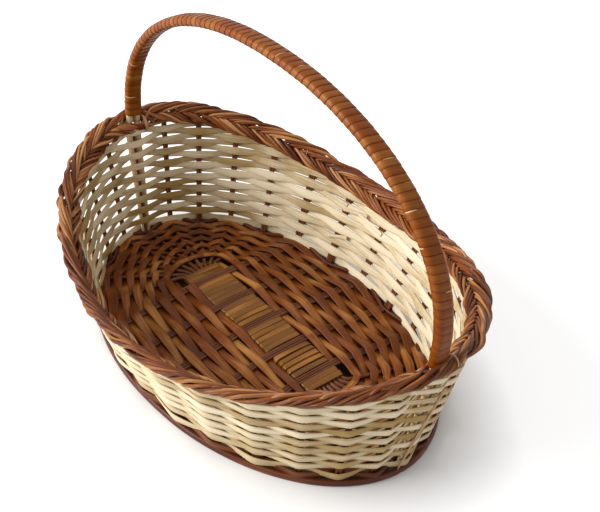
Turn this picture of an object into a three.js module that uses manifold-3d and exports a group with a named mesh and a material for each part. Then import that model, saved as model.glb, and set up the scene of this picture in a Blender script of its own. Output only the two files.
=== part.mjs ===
// Oval cane basket with a wrapped bow handle, in millimetres, +Z up, long axis along X.
// The origin is on the ground under the middle of the basket.
// A ladder of sticks carries the woven floor, stakes stand round it, flat strips are woven
// in and out of the stakes, a three-strand plait closes the rim and a bow of two rods,
// wrapped with flat cane, is pushed down through the plait beside the two end stakes.

import * as THREE from 'three';
import Module from 'manifold-3d';

const wasm = await Module();
wasm.setup();

// Fit of one piece against the next
const clearance = 0.3;

// Stakes: nine at each end, five along each side, evenly spaced in the angle of the oval
const endStakes = 9;
const sideStakes = 5;
const stakeCount = 2 * (endStakes + sideStakes);
const endRodDiameter = 2.6;
const endRodsPerStake = 2;
const sideRodDiameter = 2.4;
const sideRodsPerStake = 3;
const footHalfLength = 171;
const footHalfWidth = 111;
const stakeFootHeight = 1.2;
const rodPressing = 0.94;

// Rim: the middle line of the plait, low at the sides and rising to the handle ends
const rimHalfLength = 189.7;
const rimHalfWidth = 137.5;
const rimSideHeight = 79.3;
const rimEndRise = 37.6;
const rimRisePower = 1.82;
const rimTilt = 0.649;

// Plait: three flat strands, each crossing once for every stake it passes
const strandWidth = 7.8;
const strandThickness = 3.4;
const plaitHalfWidth = 11.7;
const strandStepsPerStake = 4;
const strandSides = 6;
const legOpeningInner = 7.3;
const legOpeningOuter = 1.6;
const legOpeningReach = 16;

// Wall: pale flat strips
const stripWidth = 4.9;
const stripThickness = 0.9;
const rowGapSide = 0.25;
const rowGapEnd = 0.65;
const wallTopDrop = 7.2;
const shortRowsLeast = 3;

// Foot: a smooth hoop outside the stakes, and a dark cane woven above it
const hoopHeight = 4.6;
const hoopThickness = 3.4;
const hoopStepsPerStake = 2;
const footCaneHeight = 4.5;
const footCaneThickness = 2.2;

// Floor: ladder of long and cross sticks, and the weavers round it
const longStickDiameter = 3.4;
const longStickPitch = 3.8;
const crossGroupPitch = 35.3;
const stickPressing = 0.7;
const endRibRoom = 3.6;
const ribTipRoom = 1.3;
const floorEdgeHeight = 6.4;
const floorDome = 9.3;
const ladderHalfLength = 89;
const floorWeaverRows = 13;
const floorCaneWidth = 4.6;
const floorCaneThickness = 1.5;
const wrapTurnWidth = 4.7;
const wrapThickness = 1.1;
const wrapTurns = 5;
const endWrapTurns = 2;

// Bow handle: two rods side by side, wrapped with flat cane
const handleRodDiameter = 6;
const handleRodTip = 2.8;
const handleRodSpread = 3.6;
const legX = 188;
const legTopHeight = 134.2;
const handleTopHeight = 270.2;
const handleBowPower = 0.934;
const handleWrapThickness = 0.7;
const handleWrapGroove = 0.3;
const handleTurns = 87;
const legFullDrop = 7;
const wrapLegHeight = 119;
const handleSteps = 26;
const legSteps = 3;

// Finishes
const paleStrip = new THREE.MeshStandardMaterial({ color: 0xd3c5a2, roughness: 0.7, metalness: 0 });
const darkStake = new THREE.MeshStandardMaterial({ color: 0x5c2c17, roughness: 0.6, metalness: 0 });
const rimCane = new THREE.MeshStandardMaterial({ color: 0x8a4a2a, roughness: 0.5, metalness: 0 });
const footCane = new THREE.MeshStandardMaterial({ color: 0x5a2e1c, roughness: 0.6, metalness: 0 });
const floorCane = new THREE.MeshStandardMaterial({ color: 0x9a6230, roughness: 0.5, metalness: 0 });
const wrapCane = new THREE.MeshStandardMaterial({ color: 0xa8662a, roughness: 0.35, metalness: 0 });
const handleCane = new THREE.MeshStandardMaterial({ color: 0xa85a26, roughness: 0.3, metalness: 0 });
const bareRod = new THREE.MeshStandardMaterial({ color: 0xc9a276, roughness: 0.6, metalness: 0 });

const up = new THREE.Vector3(0, 0, 1);
const basket = new THREE.Group();

function addPiece(name, geometry, material) {
  const mesh = new THREE.Mesh(geometry, material);
  mesh.name = name;
  basket.add(mesh);
}

// Closed body through a row of sections, each a loop of points
// An open row gets a flat cap at each end, and a closed one joins its last section to its first
function loft(sections, closed) {
  const sides = sections[0].length;
  const positions = sections.flat().flatMap((point) => [point.x, point.y, point.z]);
  const triangles = [];
  const spans = closed ? sections.length : sections.length - 1;
  for (let span = 0; span < spans; span += 1) {
    const near = span * sides;
    const far = ((span + 1) % sections.length) * sides;
    for (let side = 0; side < sides; side += 1) {
      const next = (side + 1) % sides;
      triangles.push(near + side, near + next, far + next);
      triangles.push(near + side, far + next, far + side);
    }
  }
  if (!closed) {
    const last = (sections.length - 1) * sides;
    for (let side = 1; side < sides - 1; side += 1) {
      triangles.push(0, side + 1, side);
      triangles.push(last, last + side, last + side + 1);
    }
  }
  return body(positions, triangles);
}

// Geometry with its faces turned outwards
function body(positions, triangles) {
  const corner = (index) => new THREE.Vector3().fromArray(positions, 3 * index);
  let volume = 0;
  for (let start = 0; start < triangles.length; start += 3) {
    const [a, b, c] = triangles.slice(start, start + 3).map(corner);
    volume += a.dot(b.cross(c));
  }
  const geometry = new THREE.BufferGeometry();
  geometry.setAttribute('position', new THREE.Float32BufferAttribute(positions, 3));
  geometry.setIndex(volume < 0 ? triangles.reverse() : triangles);
  geometry.computeVertexNormals();
  return geometry;
}

// Sticks that press on each other, joined into one body
function joined(geometries) {
  const solids = geometries.map((geometry) => {
    const vertProperties = geometry.getAttribute('position').array;
    const triVerts = new Uint32Array(geometry.index.array);
    return new wasm.Manifold(new wasm.Mesh({ numProp: 3, vertProperties, triVerts }));
  });
  const mesh = solids.reduce((whole, solid) => whole.add(solid)).getMesh();
  return body(Array.from(mesh.vertProperties), Array.from(mesh.triVerts));
}

// One section: a point with its two half axes, as an oval of a given number of sides or as a rectangle
function oval(centre, axisU, halfU, axisV, halfV, sides) {
  return Array.from({ length: sides }, (_, side) => {
    const angle = ((side + 0.5) * 2 * Math.PI) / sides;
    const point = centre.clone().addScaledVector(axisU, halfU * Math.cos(angle));
    return point.addScaledVector(axisV, halfV * Math.sin(angle));
  });
}

function rectangle(centre, axisU, halfU, axisV, halfV) {
  const corners = [[1, 1], [-1, 1], [-1, -1], [1, -1]];
  return corners.map(([u, v]) => {
    const point = centre.clone().addScaledVector(axisU, u * halfU);
    return point.addScaledVector(axisV, v * halfV);
  });
}

// Round rod through points, its sections square to the path and kept level with a guide direction
function rod(points, radii, sides, guide) {
  const sections = points.map((point, index) => {
    const before = points[Math.max(index - 1, 0)];
    const after = points[Math.min(index + 1, points.length - 1)];
    const along = after.clone().sub(before).normalize();
    const axisU = guide.clone().cross(along).normalize();
    const axisV = along.clone().cross(axisU);
    const radius = Array.isArray(radii) ? radii[index] : radii;
    return oval(point, axisU, radius, axisV, radius, sides);
  });
  return loft(sections, false);
}

// Plan angle of each stake, and the outward direction of an oval at an angle
const stakeAngle = (index) => (index * 2 * Math.PI) / stakeCount;
const stakeIndexes = Array.from({ length: stakeCount }, (_, index) => index);
const wrapIndex = (index) => (index + stakeCount) % stakeCount;

function outward(angle, halfLength, halfWidth) {
  return new THREE.Vector3(Math.cos(angle) * halfWidth, Math.sin(angle) * halfLength, 0).normalize();
}

// Stakes at the sides carry three thin rods, those at the ends two, and the handle's own stakes one
const quarter = stakeCount / 4;
const sideReach = (sideStakes - 1) / 2;
const isSideStake = (index) => Math.abs((index % (stakeCount / 2)) - quarter) <= sideReach;
const isHandleStake = (index) => index % (stakeCount / 2) === 0;

function stakeRods(index) {
  if (isHandleStake(index)) {
    return { count: 1, diameter: endRodDiameter };
  }
  if (isSideStake(index)) {
    return { count: sideRodsPerStake, diameter: sideRodDiameter };
  }
  return { count: endRodsPerStake, diameter: endRodDiameter };
}

// Rim path and its frame: across the plait, and through its thickness
const rimHeight = (angle) => rimSideHeight + rimEndRise * Math.abs(Math.cos(angle)) ** rimRisePower;

function rimPoint(angle) {
  return new THREE.Vector3(rimHalfLength * Math.cos(angle), rimHalfWidth * Math.sin(angle), rimHeight(angle));
}

function rimFrame(angle) {
  const step = 0.002;
  const along = rimPoint(angle + step).sub(rimPoint(angle - step)).normalize();
  const out = outward(angle, rimHalfLength, rimHalfWidth);
  const raised = out.clone().cross(along).normalize();
  const across = out.clone().multiplyScalar(Math.cos(rimTilt)).addScaledVector(raised, Math.sin(rimTilt));
  const through = raised.clone().multiplyScalar(Math.cos(rimTilt)).addScaledVector(out, -Math.sin(rimTilt));
  return { along, across, through };
}

// Plait: the sideways swing and the rise and dip of its strands
const plaitSwing = plaitHalfWidth - strandWidth / 2;
const plaitDip = (strandThickness + clearance) * 0.66;

// Wall line: each stake leans from the foot to just under the plait's crossing
function wallTop(angle) {
  const { across, through } = rimFrame(angle);
  const under = plaitDip * 0.87 + strandThickness / 2 + clearance + endRodDiameter / 2;
  return rimPoint(angle).addScaledVector(across, -plaitSwing / 2).addScaledVector(through, -under);
}

function wallFoot(angle) {
  return new THREE.Vector3(footHalfLength * Math.cos(angle), footHalfWidth * Math.sin(angle), stakeFootHeight);
}

function wallLine(angle, height) {
  const foot = wallFoot(angle);
  const top = wallTop(angle);
  return foot.lerp(top, (height - foot.z) / (top.z - foot.z));
}

function wallFrame(angle) {
  const lean = wallTop(angle).sub(wallFoot(angle)).normalize();
  const sideways = new THREE.Vector3().crossVectors(up, outward(angle, footHalfLength, footHalfWidth));
  const out = new THREE.Vector3().crossVectors(sideways, lean).normalize();
  return { lean, sideways, out };
}

// Handle rods taper down the wall and lie against the end stake all the way
const legFullHeight = rimHeight(0) - legFullDrop;
const legShare = (height) => Math.min((height - stakeFootHeight) / (legFullHeight - stakeFootHeight), 1);
const legRodRadius = (height) => (handleRodTip + (handleRodDiameter - handleRodTip) * legShare(height)) / 2;
const legSpread = (height) => endRodDiameter / 2 + clearance + legRodRadius(height);

// Rods of a stake press into each other a little, and a cross group's rods likewise
const stakeRodPitch = (diameter) => diameter * rodPressing;

// How far a cane swings at each post it passes: clear of the post's own rods, allowing for
// the slope of the cane on its way to the next post on the other side
function clearSwings(posts, closed) {
  const last = posts.length - 1;
  const neighbours = posts.map((post, index) => {
    const before = index > 0 ? index - 1 : last;
    const after = index < last ? index + 1 : 0;
    const pair = [[before, posts[before].spacing], [after, post.spacing]];
    return pair.filter((_, side) => closed || (side === 0 ? index > 0 : index < last));
  });
  let swings = posts.map(({ need }) => need);
  for (let round = 0; round < 12; round += 1) {
    swings = posts.map(({ need, reach, bulge }, index) => Math.max(...neighbours[index].map(([other, spacing]) => {
      const across = swings[other] + bulge;
      const slope = (swings[index] + across) / spacing;
      return (need * Math.hypot(1, slope) + (across * reach) / spacing) / (1 - reach / spacing);
    })));
  }
  return swings;
}

function stakePosts(thickness, upright, width, top) {
  return stakeIndexes.map((index) => {
    const angle = stakeAngle(index);
    const { count, diameter } = stakeRods(index);
    const handle = isHandleStake(index);
    const reach = handle ? legSpread(top) : ((count - 1) * stakeRodPitch(diameter)) / 2;
    const radius = handle ? legRodRadius(top) : diameter / 2;
    const { out } = wallFrame(angle);
    const slope = upright ? (Math.abs(out.z) * width) / 2 : 0;
    const step = wallFoot(stakeAngle(index + 1)).sub(wallFoot(angle));
    const bulge = Math.abs(step.dot(outward(angle, footHalfLength, footHalfWidth)));
    const need = (radius + clearance + thickness / 2 + slope) / Math.hypot(out.x, out.y);
    return { need, reach, bulge, spacing: step.length() };
  });
}

const stakeSwings = (thickness, upright, width, top) => clearSwings(stakePosts(thickness, upright, width, top), true);

// Rows of the wall: full rows where the sides have room, short rows round the rising ends
const footTop = hoopHeight + footCaneHeight + 2 * clearance;
const endShare = (angle) => Math.abs(Math.cos(angle));
const rowGap = (angle) => rowGapSide + (rowGapEnd - rowGapSide) * endShare(angle);
const rowPitch = (angle) => stripWidth + rowGap(angle);
const rowHeight = (row, angle) => footTop + (row + 0.5) * rowPitch(angle);
const rowRoom = (angle) => rimHeight(angle) - wallTopDrop - footTop;
const rowsThatFit = (angle) => Math.floor(rowRoom(angle) / rowPitch(angle));
const fullRows = rowsThatFit(Math.PI / 2);
const endRows = rowsThatFit(0);

const footSwings = stakeSwings(footCaneThickness, true, footCaneHeight, footTop);
const stripSwings = Array.from({ length: endRows }, (_, row) => {
  return stakeSwings(stripThickness, false, stripWidth, rowHeight(row, 0) + stripWidth / 2);
});

// Even rows pass outside the even stakes, odd rows outside the odd ones
const weaveSide = (index, row) => ((index + row) % 2 === 0 ? 1 : -1);

function stripSection(index, row, direction) {
  const angle = stakeAngle(index);
  const { lean, out } = wallFrame(angle);
  const level = outward(angle, footHalfLength, footHalfWidth);
  const swing = weaveSide(index, row) * stripSwings[row][wrapIndex(index)];
  const centre = wallLine(angle, rowHeight(row, angle)).addScaledVector(level, swing);
  return rectangle(centre, lean, stripWidth / 2, out, (direction * stripThickness) / 2);
}

// The foot's woven cane passes the stakes on the other side than the first row of the wall
function footSection(index) {
  const angle = stakeAngle(index);
  const level = outward(angle, footHalfLength, footHalfWidth);
  const swing = -weaveSide(index, 0) * footSwings[index];
  const centre = wallLine(angle, hoopHeight + clearance + footCaneHeight / 2).addScaledVector(level, swing);
  return rectangle(centre, up, footCaneHeight / 2, level, footCaneThickness / 2);
}

// The hoop lies outside all the stakes, clear of the one that needs most room
const hoopPosts = stakePosts(hoopThickness, true, hoopHeight, hoopHeight);
const hoopOffset = Math.max(...hoopPosts.map(({ need, reach, bulge, spacing }) => need + (reach * bulge) / spacing));

function hoopSection(angle) {
  const level = outward(angle, footHalfLength, footHalfWidth);
  const centre = wallLine(angle, hoopHeight / 2).addScaledVector(level, hoopOffset);
  return rectangle(centre, up, hoopHeight / 2, level, hoopThickness / 2);
}

// One strip fills each rising end: it runs out to the last stake that has room for the row,
// turns back round that stake and returns a row higher
function turnedBackStrip(middle) {
  const sections = [];
  for (let row = fullRows; row < endRows; row += 1) {
    const offsets = [];
    for (let offset = -quarter; offset <= quarter; offset += 1) {
      if (rowsThatFit(stakeAngle(offset)) > row) {
        offsets.push(offset);
      }
    }
    if (offsets.length < shortRowsLeast) {
      break;
    }
    const forward = (row - fullRows) % 2 === 0;
    const order = forward ? offsets : [...offsets].reverse();
    if (row > fullRows) {
      sections.push(turnSection(middle + order[0], row, forward ? -1 : 1));
    }
    order.forEach((offset) => sections.push(stripSection(middle + offset, row, forward ? 1 : -1)));
  }
  return loft(sections, false);
}

// The turn stands beside its stake, halfway up to the next row
function turnSection(index, row, direction) {
  const angle = stakeAngle(index);
  const wrapped = wrapIndex(index);
  const { lean, sideways } = wallFrame(angle);
  const { count, diameter } = stakeRods(wrapped);
  const reach = ((count - 1) * stakeRodPitch(diameter) + diameter) / 2 + clearance + stripThickness;
  const height = (rowHeight(row - 1, angle) + rowHeight(row, angle)) / 2;
  const centre = wallLine(angle, height).addScaledVector(sideways, direction * reach * 1.4);
  const fromOutside = (wrapped + row - 1) % 2 === 0 ? 1 : -1;
  return rectangle(centre, lean, stripWidth / 2, sideways, (fromOutside * stripThickness) / 2);
}

function makeWall() {
  for (let row = 0; row < fullRows; row += 1) {
    const ring = loft(stakeIndexes.map((index) => stripSection(index, row, 1)), true);
    addPiece(`wall_strip_${String(row + 1).padStart(2, '0')}`, ring, paleStrip);
  }
  addPiece('turned_back_strip_right', turnedBackStrip(0), paleStrip);
  addPiece('turned_back_strip_left', turnedBackStrip(stakeCount / 2), paleStrip);
}

function makeFoot() {
  const steps = Array.from({ length: stakeCount * hoopStepsPerStake }, (_, step) => step / hoopStepsPerStake);
  addPiece('foot_hoop', loft(steps.map((step) => hoopSection(stakeAngle(step))), true), footCane);
  addPiece('foot_cane', loft(stakeIndexes.map(footSection), true), footCane);
}

// Stakes: straight rods pressed side by side along the wall
function stakeOutline(count, diameter) {
  const radius = diameter / 2;
  const pitch = stakeRodPitch(diameter);
  const valley = count > 1 ? Math.acos(pitch / 2 / radius) : 0;
  const points = [];
  const arc = (centre, from, to, steps) => {
    for (let step = 0; step < steps; step += 1) {
      const angle = from + ((to - from) * step) / steps;
      points.push(new THREE.Vector2(centre + radius * Math.cos(angle), radius * Math.sin(angle)));
    }
  };
  const last = ((count - 1) * pitch) / 2;
  const lower = (place) => arc(place, Math.PI + valley, 2 * Math.PI - valley, 2);
  const upper = (place) => arc(place, valley, Math.PI - valley, 2);
  if (count === 1) {
    arc(0, 0, 2 * Math.PI, 6);
    return new THREE.Shape(points);
  }
  const inner = Array.from({ length: count - 2 }, (_, index) => last - (index + 1) * pitch);
  arc(last, valley - Math.PI, Math.PI - valley, 5);
  inner.forEach(upper);
  arc(-last, valley, 2 * Math.PI - valley, 5);
  inner.reverse().forEach(lower);
  return new THREE.Shape(points);
}

function makeStakes() {
  stakeIndexes.forEach((index) => {
    const angle = stakeAngle(index);
    const { count, diameter } = stakeRods(index);
    const { lean, sideways, out } = wallFrame(angle);
    const foot = wallFoot(angle);
    const depth = foot.distanceTo(wallTop(angle));
    const geometry = new THREE.ExtrudeGeometry(stakeOutline(count, diameter), { depth, bevelEnabled: false });
    geometry.applyMatrix4(new THREE.Matrix4().makeBasis(sideways, out.clone().negate(), lean).setPosition(foot));
    addPiece(`stake_${String(index + 1).padStart(2, '0')}`, geometry, darkStake);
  });
}

// Plait: three strands with the same swing, a third of a turn apart
// At the handle legs the two inner strands draw in and the outer one draws out
const legAngles = [Math.PI, 2 * Math.PI];
const plaitStart = Math.PI / 2;
const plaitPhase = (strand, angle) => Math.PI / 2 + ((strand + (angle * stakeCount) / (2 * Math.PI)) * 2 * Math.PI) / 3;

function legOpening(strand, angle) {
  return legAngles.reduce((total, leg) => {
    const distance = ((angle - leg) * rimHalfWidth) / legOpeningReach;
    const inner = Math.sin(plaitPhase(strand, leg)) < 0;
    return total + (inner ? -legOpeningInner : legOpeningOuter) * Math.exp(-(distance ** 4));
  }, 0);
}

function strandSection(strand, angle) {
  const { across, through } = rimFrame(angle);
  const phase = plaitPhase(strand, angle);
  const centre = rimPoint(angle);
  centre.addScaledVector(across, plaitSwing * Math.sin(phase) + legOpening(strand, angle));
  centre.addScaledVector(through, -plaitDip * Math.sin(2 * phase));
  return oval(centre, across, strandWidth / 2, through, strandThickness / 2, strandSides);
}

function makePlait() {
  const steps = stakeCount * strandStepsPerStake;
  const endGap = clearance / rimHalfLength;
  for (let strand = 0; strand < 3; strand += 1) {
    const sections = [];
    for (let step = 0; step <= steps; step += 1) {
      const trim = step === 0 ? endGap / 2 : step === steps ? -endGap / 2 : 0;
      sections.push(strandSection(strand, plaitStart + (step / steps) * 2 * Math.PI + trim));
    }
    addPiece(`rim_strand_${strand + 1}`, loft(sections, false), rimCane);
  }
}

// Floor: ribs run from the ladder to the foot, following a low dome
const ladderHalfWidth = ((endStakes - 1) / 2) * longStickPitch + longStickDiameter / 2;
const crossLift = longStickDiameter / 2 + sideRodDiameter / 2 - stickPressing;
const crossRodPitch = stakeRodPitch(sideRodDiameter);
const crossGroupWidth = (sideRodsPerStake - 1) * crossRodPitch + sideRodDiameter;
const crossPlaces = Array.from({ length: sideStakes }, (_, index) => (index - sideReach) * crossGroupPitch);

function domeHeight(x) {
  return floorEdgeHeight + floorDome * (1 - (x / footHalfLength) ** 2);
}

// Height of the long sticks, which bend only where a cross group sits on them and at their roots
function stickHeight(x) {
  const bends = [...crossPlaces.filter((place) => place >= 0), ladderHalfLength];
  const far = Math.max(bends.findIndex((place) => place >= Math.abs(x)), 1);
  const share = (Math.abs(x) - bends[far - 1]) / (bends[far] - bends[far - 1]);
  return domeHeight(bends[far - 1]) * (1 - share) + domeHeight(bends[far]) * share;
}

// Tip of each rib: at its stake, or inside the foot cane where that swings in past the stake
function ribTip(index) {
  const angle = stakeAngle(index);
  const caneInside = weaveSide(index, 0) > 0;
  const inwardReach = caneInside ? footSwings[index] + footCaneThickness / 2 : stakeRods(index).diameter / 2;
  const room = inwardReach + (caneInside ? 2 * clearance : ribTipRoom);
  return wallLine(angle, floorEdgeHeight).addScaledVector(outward(angle, footHalfLength, footHalfWidth), -room);
}

// Long sticks pair a stake at the right end with one at the left, cross groups pair far and near
const endReach = (endStakes - 1) / 2;
const stickNumbers = Array.from({ length: endStakes }, (_, index) => index - endReach);
const groupNumbers = Array.from({ length: sideStakes }, (_, index) => index - sideReach);

function rib(index) {
  const angle = stakeAngle(index);
  const half = stakeCount / 2;
  const radius = isSideStake(index) ? sideRodDiameter / 2 : longStickDiameter / 2;
  if (isSideStake(index)) {
    const far = Math.sin(angle) > 0 ? 1 : -1;
    const group = far > 0 ? quarter - index : index - 3 * quarter;
    const x = crossGroupPitch * group;
    const y = far * (ladderHalfWidth + wrapThickness + 2 * clearance);
    const root = new THREE.Vector3(x, y, stickHeight(x) + crossLift);
    const reach = ((sideRodsPerStake - 1) * crossRodPitch) / 2;
    return { root, tip: ribTip(index), radius, reach, first: floorCaneWidth / 2 + 2 * clearance };
  }
  const right = Math.cos(angle) > 0;
  const number = right ? (index > half ? index - stakeCount : index) : half - index;
  const root = new THREE.Vector3(right ? ladderHalfLength : -ladderHalfLength, number * longStickPitch, 0);
  root.z = stickHeight(root.x);
  return { root, tip: ribTip(index), radius, reach: 0, first: floorCaneWidth / 2 + endRibRoom };
}

const ribs = stakeIndexes.map(rib);

// A cross group: rods side by side, round on top and flat underneath
function crossSection(centre, across) {
  const radius = sideRodDiameter / 2;
  const last = ((sideRodsPerStake - 1) * crossRodPitch) / 2;
  const places = Array.from({ length: sideRodsPerStake }, (_, place) => last - place * crossRodPitch);
  const point = (aside, height) => centre.clone().addScaledVector(across, aside).addScaledVector(up, height);
  const crowns = places.flatMap((place) => [0.25, 0.5, 0.75].map((share) => {
    const angle = share * Math.PI;
    return point(place + radius * Math.cos(angle), radius * Math.sin(angle));
  }));
  const half = last + radius;
  return [point(half, 0), ...crowns, point(-half, 0), point(-last, -radius), point(last, -radius)];
}

function makeSticks() {
  const longSticks = stickNumbers.map((number) => {
    const right = ribs[wrapIndex(number)];
    const left = ribs[wrapIndex(stakeCount / 2 - number)];
    const y = number * longStickPitch;
    const middle = [...crossPlaces].reverse().map((x) => new THREE.Vector3(x, y, stickHeight(x)));
    const points = [right.tip, right.root, ...middle, left.root, left.tip];
    return rod(points, longStickDiameter / 2, 6, up);
  });
  const crossSticks = groupNumbers.map((number) => {
    const far = ribs[wrapIndex(quarter - number)];
    const near = ribs[wrapIndex(3 * quarter + number)];
    const aside = ({ tip, root }, turn) => up.clone().cross(tip.clone().sub(root).setZ(0).normalize()).multiplyScalar(turn);
    const across = new THREE.Vector3(-1, 0, 0);
    return loft([
      crossSection(far.tip, aside(far, 1)),
      crossSection(far.root, across),
      crossSection(near.root, across),
      crossSection(near.tip, aside(near, -1)),
    ], false);
  });
  addPiece('floor_sticks', joined([...longSticks, ...crossSticks]), darkStake);
}

// Two weavers chase each other round the floor over and under the ribs, each moving out two rows
// a turn, and their first turn spans the ladder's ends
function floorWeaver(number) {
  const firstRib = (number === 0 ? quarter : 3 * quarter) - sideReach;
  const turns = (floorWeaverRows - 1) / 2;
  const count = Math.round(turns * stakeCount);
  const place = (step) => {
    const { root, tip, first } = ribs[(firstRib + step) % stakeCount];
    const length = root.distanceTo(tip);
    const last = floorCaneWidth / 2 + 3 * clearance;
    const row = (2 * step) / stakeCount;
    const distance = first + ((length - first - last) * row) / (floorWeaverRows - 1);
    return root.clone().lerp(tip, distance / length);
  };
  const steps = Array.from({ length: count + 1 }, (_, step) => step);
  const places = steps.map(place);
  const posts = steps.map((step) => {
    const { radius, reach } = ribs[(firstRib + step) % stakeCount];
    const spacing = step < count ? places[step].distanceTo(places[step + 1]) : 1;
    return { need: radius + clearance + floorCaneThickness / 2, reach, bulge: 0, spacing };
  });
  const spans = (step) => step < stakeCount && !isSideStake((firstRib + step) % stakeCount);
  const wide = posts.map((post, step) => (spans(step) ? { ...post, need: 0 } : post));
  const swings = clearSwings(wide, false);
  return loft(steps.map((step) => {
    const index = (firstRib + step) % stakeCount;
    const before = places[Math.max(step - 1, 0)];
    const after = places[Math.min(step + 1, count)];
    const over = spans(step) ? number === 1 : (index + number) % 2 === 0;
    const swing = spans(step) ? posts[step].need * 1.03 : swings[step];
    const along = after.clone().sub(before).normalize();
    const raised = ribs[index].tip.clone().sub(ribs[index].root).cross(along).normalize();
    const centre = places[step].clone().addScaledVector(raised, over ? swing : -swing);
    return rectangle(centre, along.cross(raised), floorCaneWidth / 2, raised, floorCaneThickness / 2);
  }), false);
}

function makeFloorWeavers() {
  addPiece('floor_weaver_a', floorWeaver(0), floorCane);
  addPiece('floor_weaver_b', floorWeaver(1), floorCane);
}

// Ladder wraps: flat cane wound round the long sticks between the cross groups
function ladderWrap(start, turns) {
  const halfY = ladderHalfWidth + clearance + wrapThickness / 2;
  const halfZ = longStickDiameter / 2 + clearance + wrapThickness / 2;
  const corner = 1.6;
  const corners = [[-halfY, halfZ - corner], [corner - halfY, halfZ], [halfY - corner, halfZ], [halfY, halfZ - corner]];
  const round = [...corners, ...corners.map(([y, z]) => [-y, -z])];
  const pitch = wrapTurnWidth + clearance;
  const sections = [];
  const firstCorner = corners.length + 2;
  for (let step = 0; step <= turns * round.length; step += 1) {
    const [y, z] = round[(step + firstCorner) % round.length];
    const x = start + wrapTurnWidth / 2 + (step / round.length) * pitch;
    const tilt = Math.abs(Math.abs(y) - halfY) < 0.001 ? [0.924, 0.383] : [0.383, 0.924];
    const out = new THREE.Vector3(0, Math.sign(y) * tilt[0], Math.sign(z) * tilt[1]);
    const centre = new THREE.Vector3(x, y, z + stickHeight(x));
    sections.push(rectangle(centre, new THREE.Vector3(1, 0, 0), wrapTurnWidth / 2, out, (wrapThickness / 2) * 1.05));
  }
  return loft(sections, false);
}

function makeLadderWraps() {
  const pitch = wrapTurnWidth + clearance;
  const length = (turns) => (turns * pitch) + wrapTurnWidth;
  crossPlaces.slice(0, -1).forEach((place, index) => {
    const middle = place + crossGroupPitch / 2;
    addPiece(`ladder_wrap_${index + 1}`, ladderWrap(middle - length(wrapTurns - 1) / 2, wrapTurns - 1), wrapCane);
  });
  const last = crossPlaces[crossPlaces.length - 1] + crossGroupWidth / 2 + clearance;
  addPiece('ladder_wrap_right', ladderWrap(last, endWrapTurns - 1), wrapCane);
  addPiece('ladder_wrap_left', ladderWrap(-last - length(endWrapTurns - 1), endWrapTurns - 1), wrapCane);
}

// Bow: up one leg, over the arch and down the other, in the upright plane of the long axis
function bowPath() {
  const points = [];
  for (let step = 0; step <= legSteps; step += 1) {
    const height = stakeFootHeight + ((legFullHeight - stakeFootHeight) * step) / legSteps;
    points.push({ place: wallLine(0, height), spread: legSpread(height), radius: legRodRadius(height) });
  }
  const radius = handleRodDiameter / 2;
  points.push({ place: new THREE.Vector3(legX, 0, wrapLegHeight), spread: handleRodSpread, radius });
  const rise = handleTopHeight - legTopHeight;
  for (let step = 0; step <= handleSteps / 2; step += 1) {
    const angle = (step / handleSteps) * Math.PI;
    const x = legX * Math.max(Math.cos(angle), 0) ** handleBowPower;
    const z = legTopHeight + rise * Math.sin(angle) ** handleBowPower;
    points.push({ place: new THREE.Vector3(x, 0, z), spread: handleRodSpread, radius });
  }
  const mirrored = points.slice(0, -1).reverse().map((point) => {
    return { ...point, place: new THREE.Vector3(-point.place.x, 0, point.place.z) };
  });
  return [...points, ...mirrored];
}

function makeHandle() {
  const across = new THREE.Vector3(0, 1, 0);
  const path = bowPath();
  [-1, 1].forEach((side) => {
    const points = path.map(({ place, spread }) => place.clone().addScaledVector(across, side * spread));
    const radii = path.map(({ radius }) => radius);
    addPiece(side < 0 ? 'handle_rod_near' : 'handle_rod_far', rod(points, radii, 6, across), bareRod);
  });
  const wrapped = path.filter(({ spread, place }) => spread === handleRodSpread && place.z >= wrapLegHeight);
  const places = wrapped.map(({ place }) => place);
  const ways = places.map((_, index) => {
    const before = places[Math.max(index - 1, 0)];
    const after = places[Math.min(index + 1, places.length - 1)];
    return after.clone().sub(before).normalize();
  });
  const loop = (place, way, radius) => stadium(place, across, handleRodSpread, across.clone().cross(way), radius);
  const inner = (handleRodDiameter / 2 + clearance) / Math.cos(Math.PI / 8);
  const bore = places.map((place, index) => loop(place, ways[index], inner));
  addPiece('handle_wrap', sleeve(turnLoops(places, ways, inner + handleWrapThickness, loop), bore), handleCane);
}

// Outside of the winding: for every turn a groove at its edge and a crown in its middle
function turnLoops(places, ways, radius, loop) {
  const runs = places.slice(1).map((place, index) => place.distanceTo(places[index]));
  const whole = runs.reduce((total, run) => total + run, 0);
  const loops = [];
  let span = 0;
  let passed = 0;
  for (let step = 0; step <= 2 * handleTurns; step += 1) {
    const distance = (whole * step) / (2 * handleTurns);
    while (span < runs.length - 1 && distance > passed + runs[span]) {
      passed += runs[span];
      span += 1;
    }
    const share = Math.min((distance - passed) / runs[span], 1);
    const place = places[span].clone().lerp(places[span + 1], share);
    const way = ways[span].clone().lerp(ways[span + 1], share).normalize();
    loops.push(loop(place, way, step % 2 === 0 ? radius - handleWrapGroove : radius));
  }
  return loops;
}

// Long round: two half circles joined by straight sides
function stadium(centre, axisU, spread, axisV, radius) {
  const steps = [-1.5, -0.5, 0.5, 1.5];
  return [1, -1].flatMap((end) => steps.map((step) => {
    const angle = (step * Math.PI) / 4;
    const point = centre.clone().addScaledVector(axisU, end * (spread + radius * Math.cos(angle)));
    return point.addScaledVector(axisV, end * radius * Math.sin(angle));
  }));
}

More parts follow.
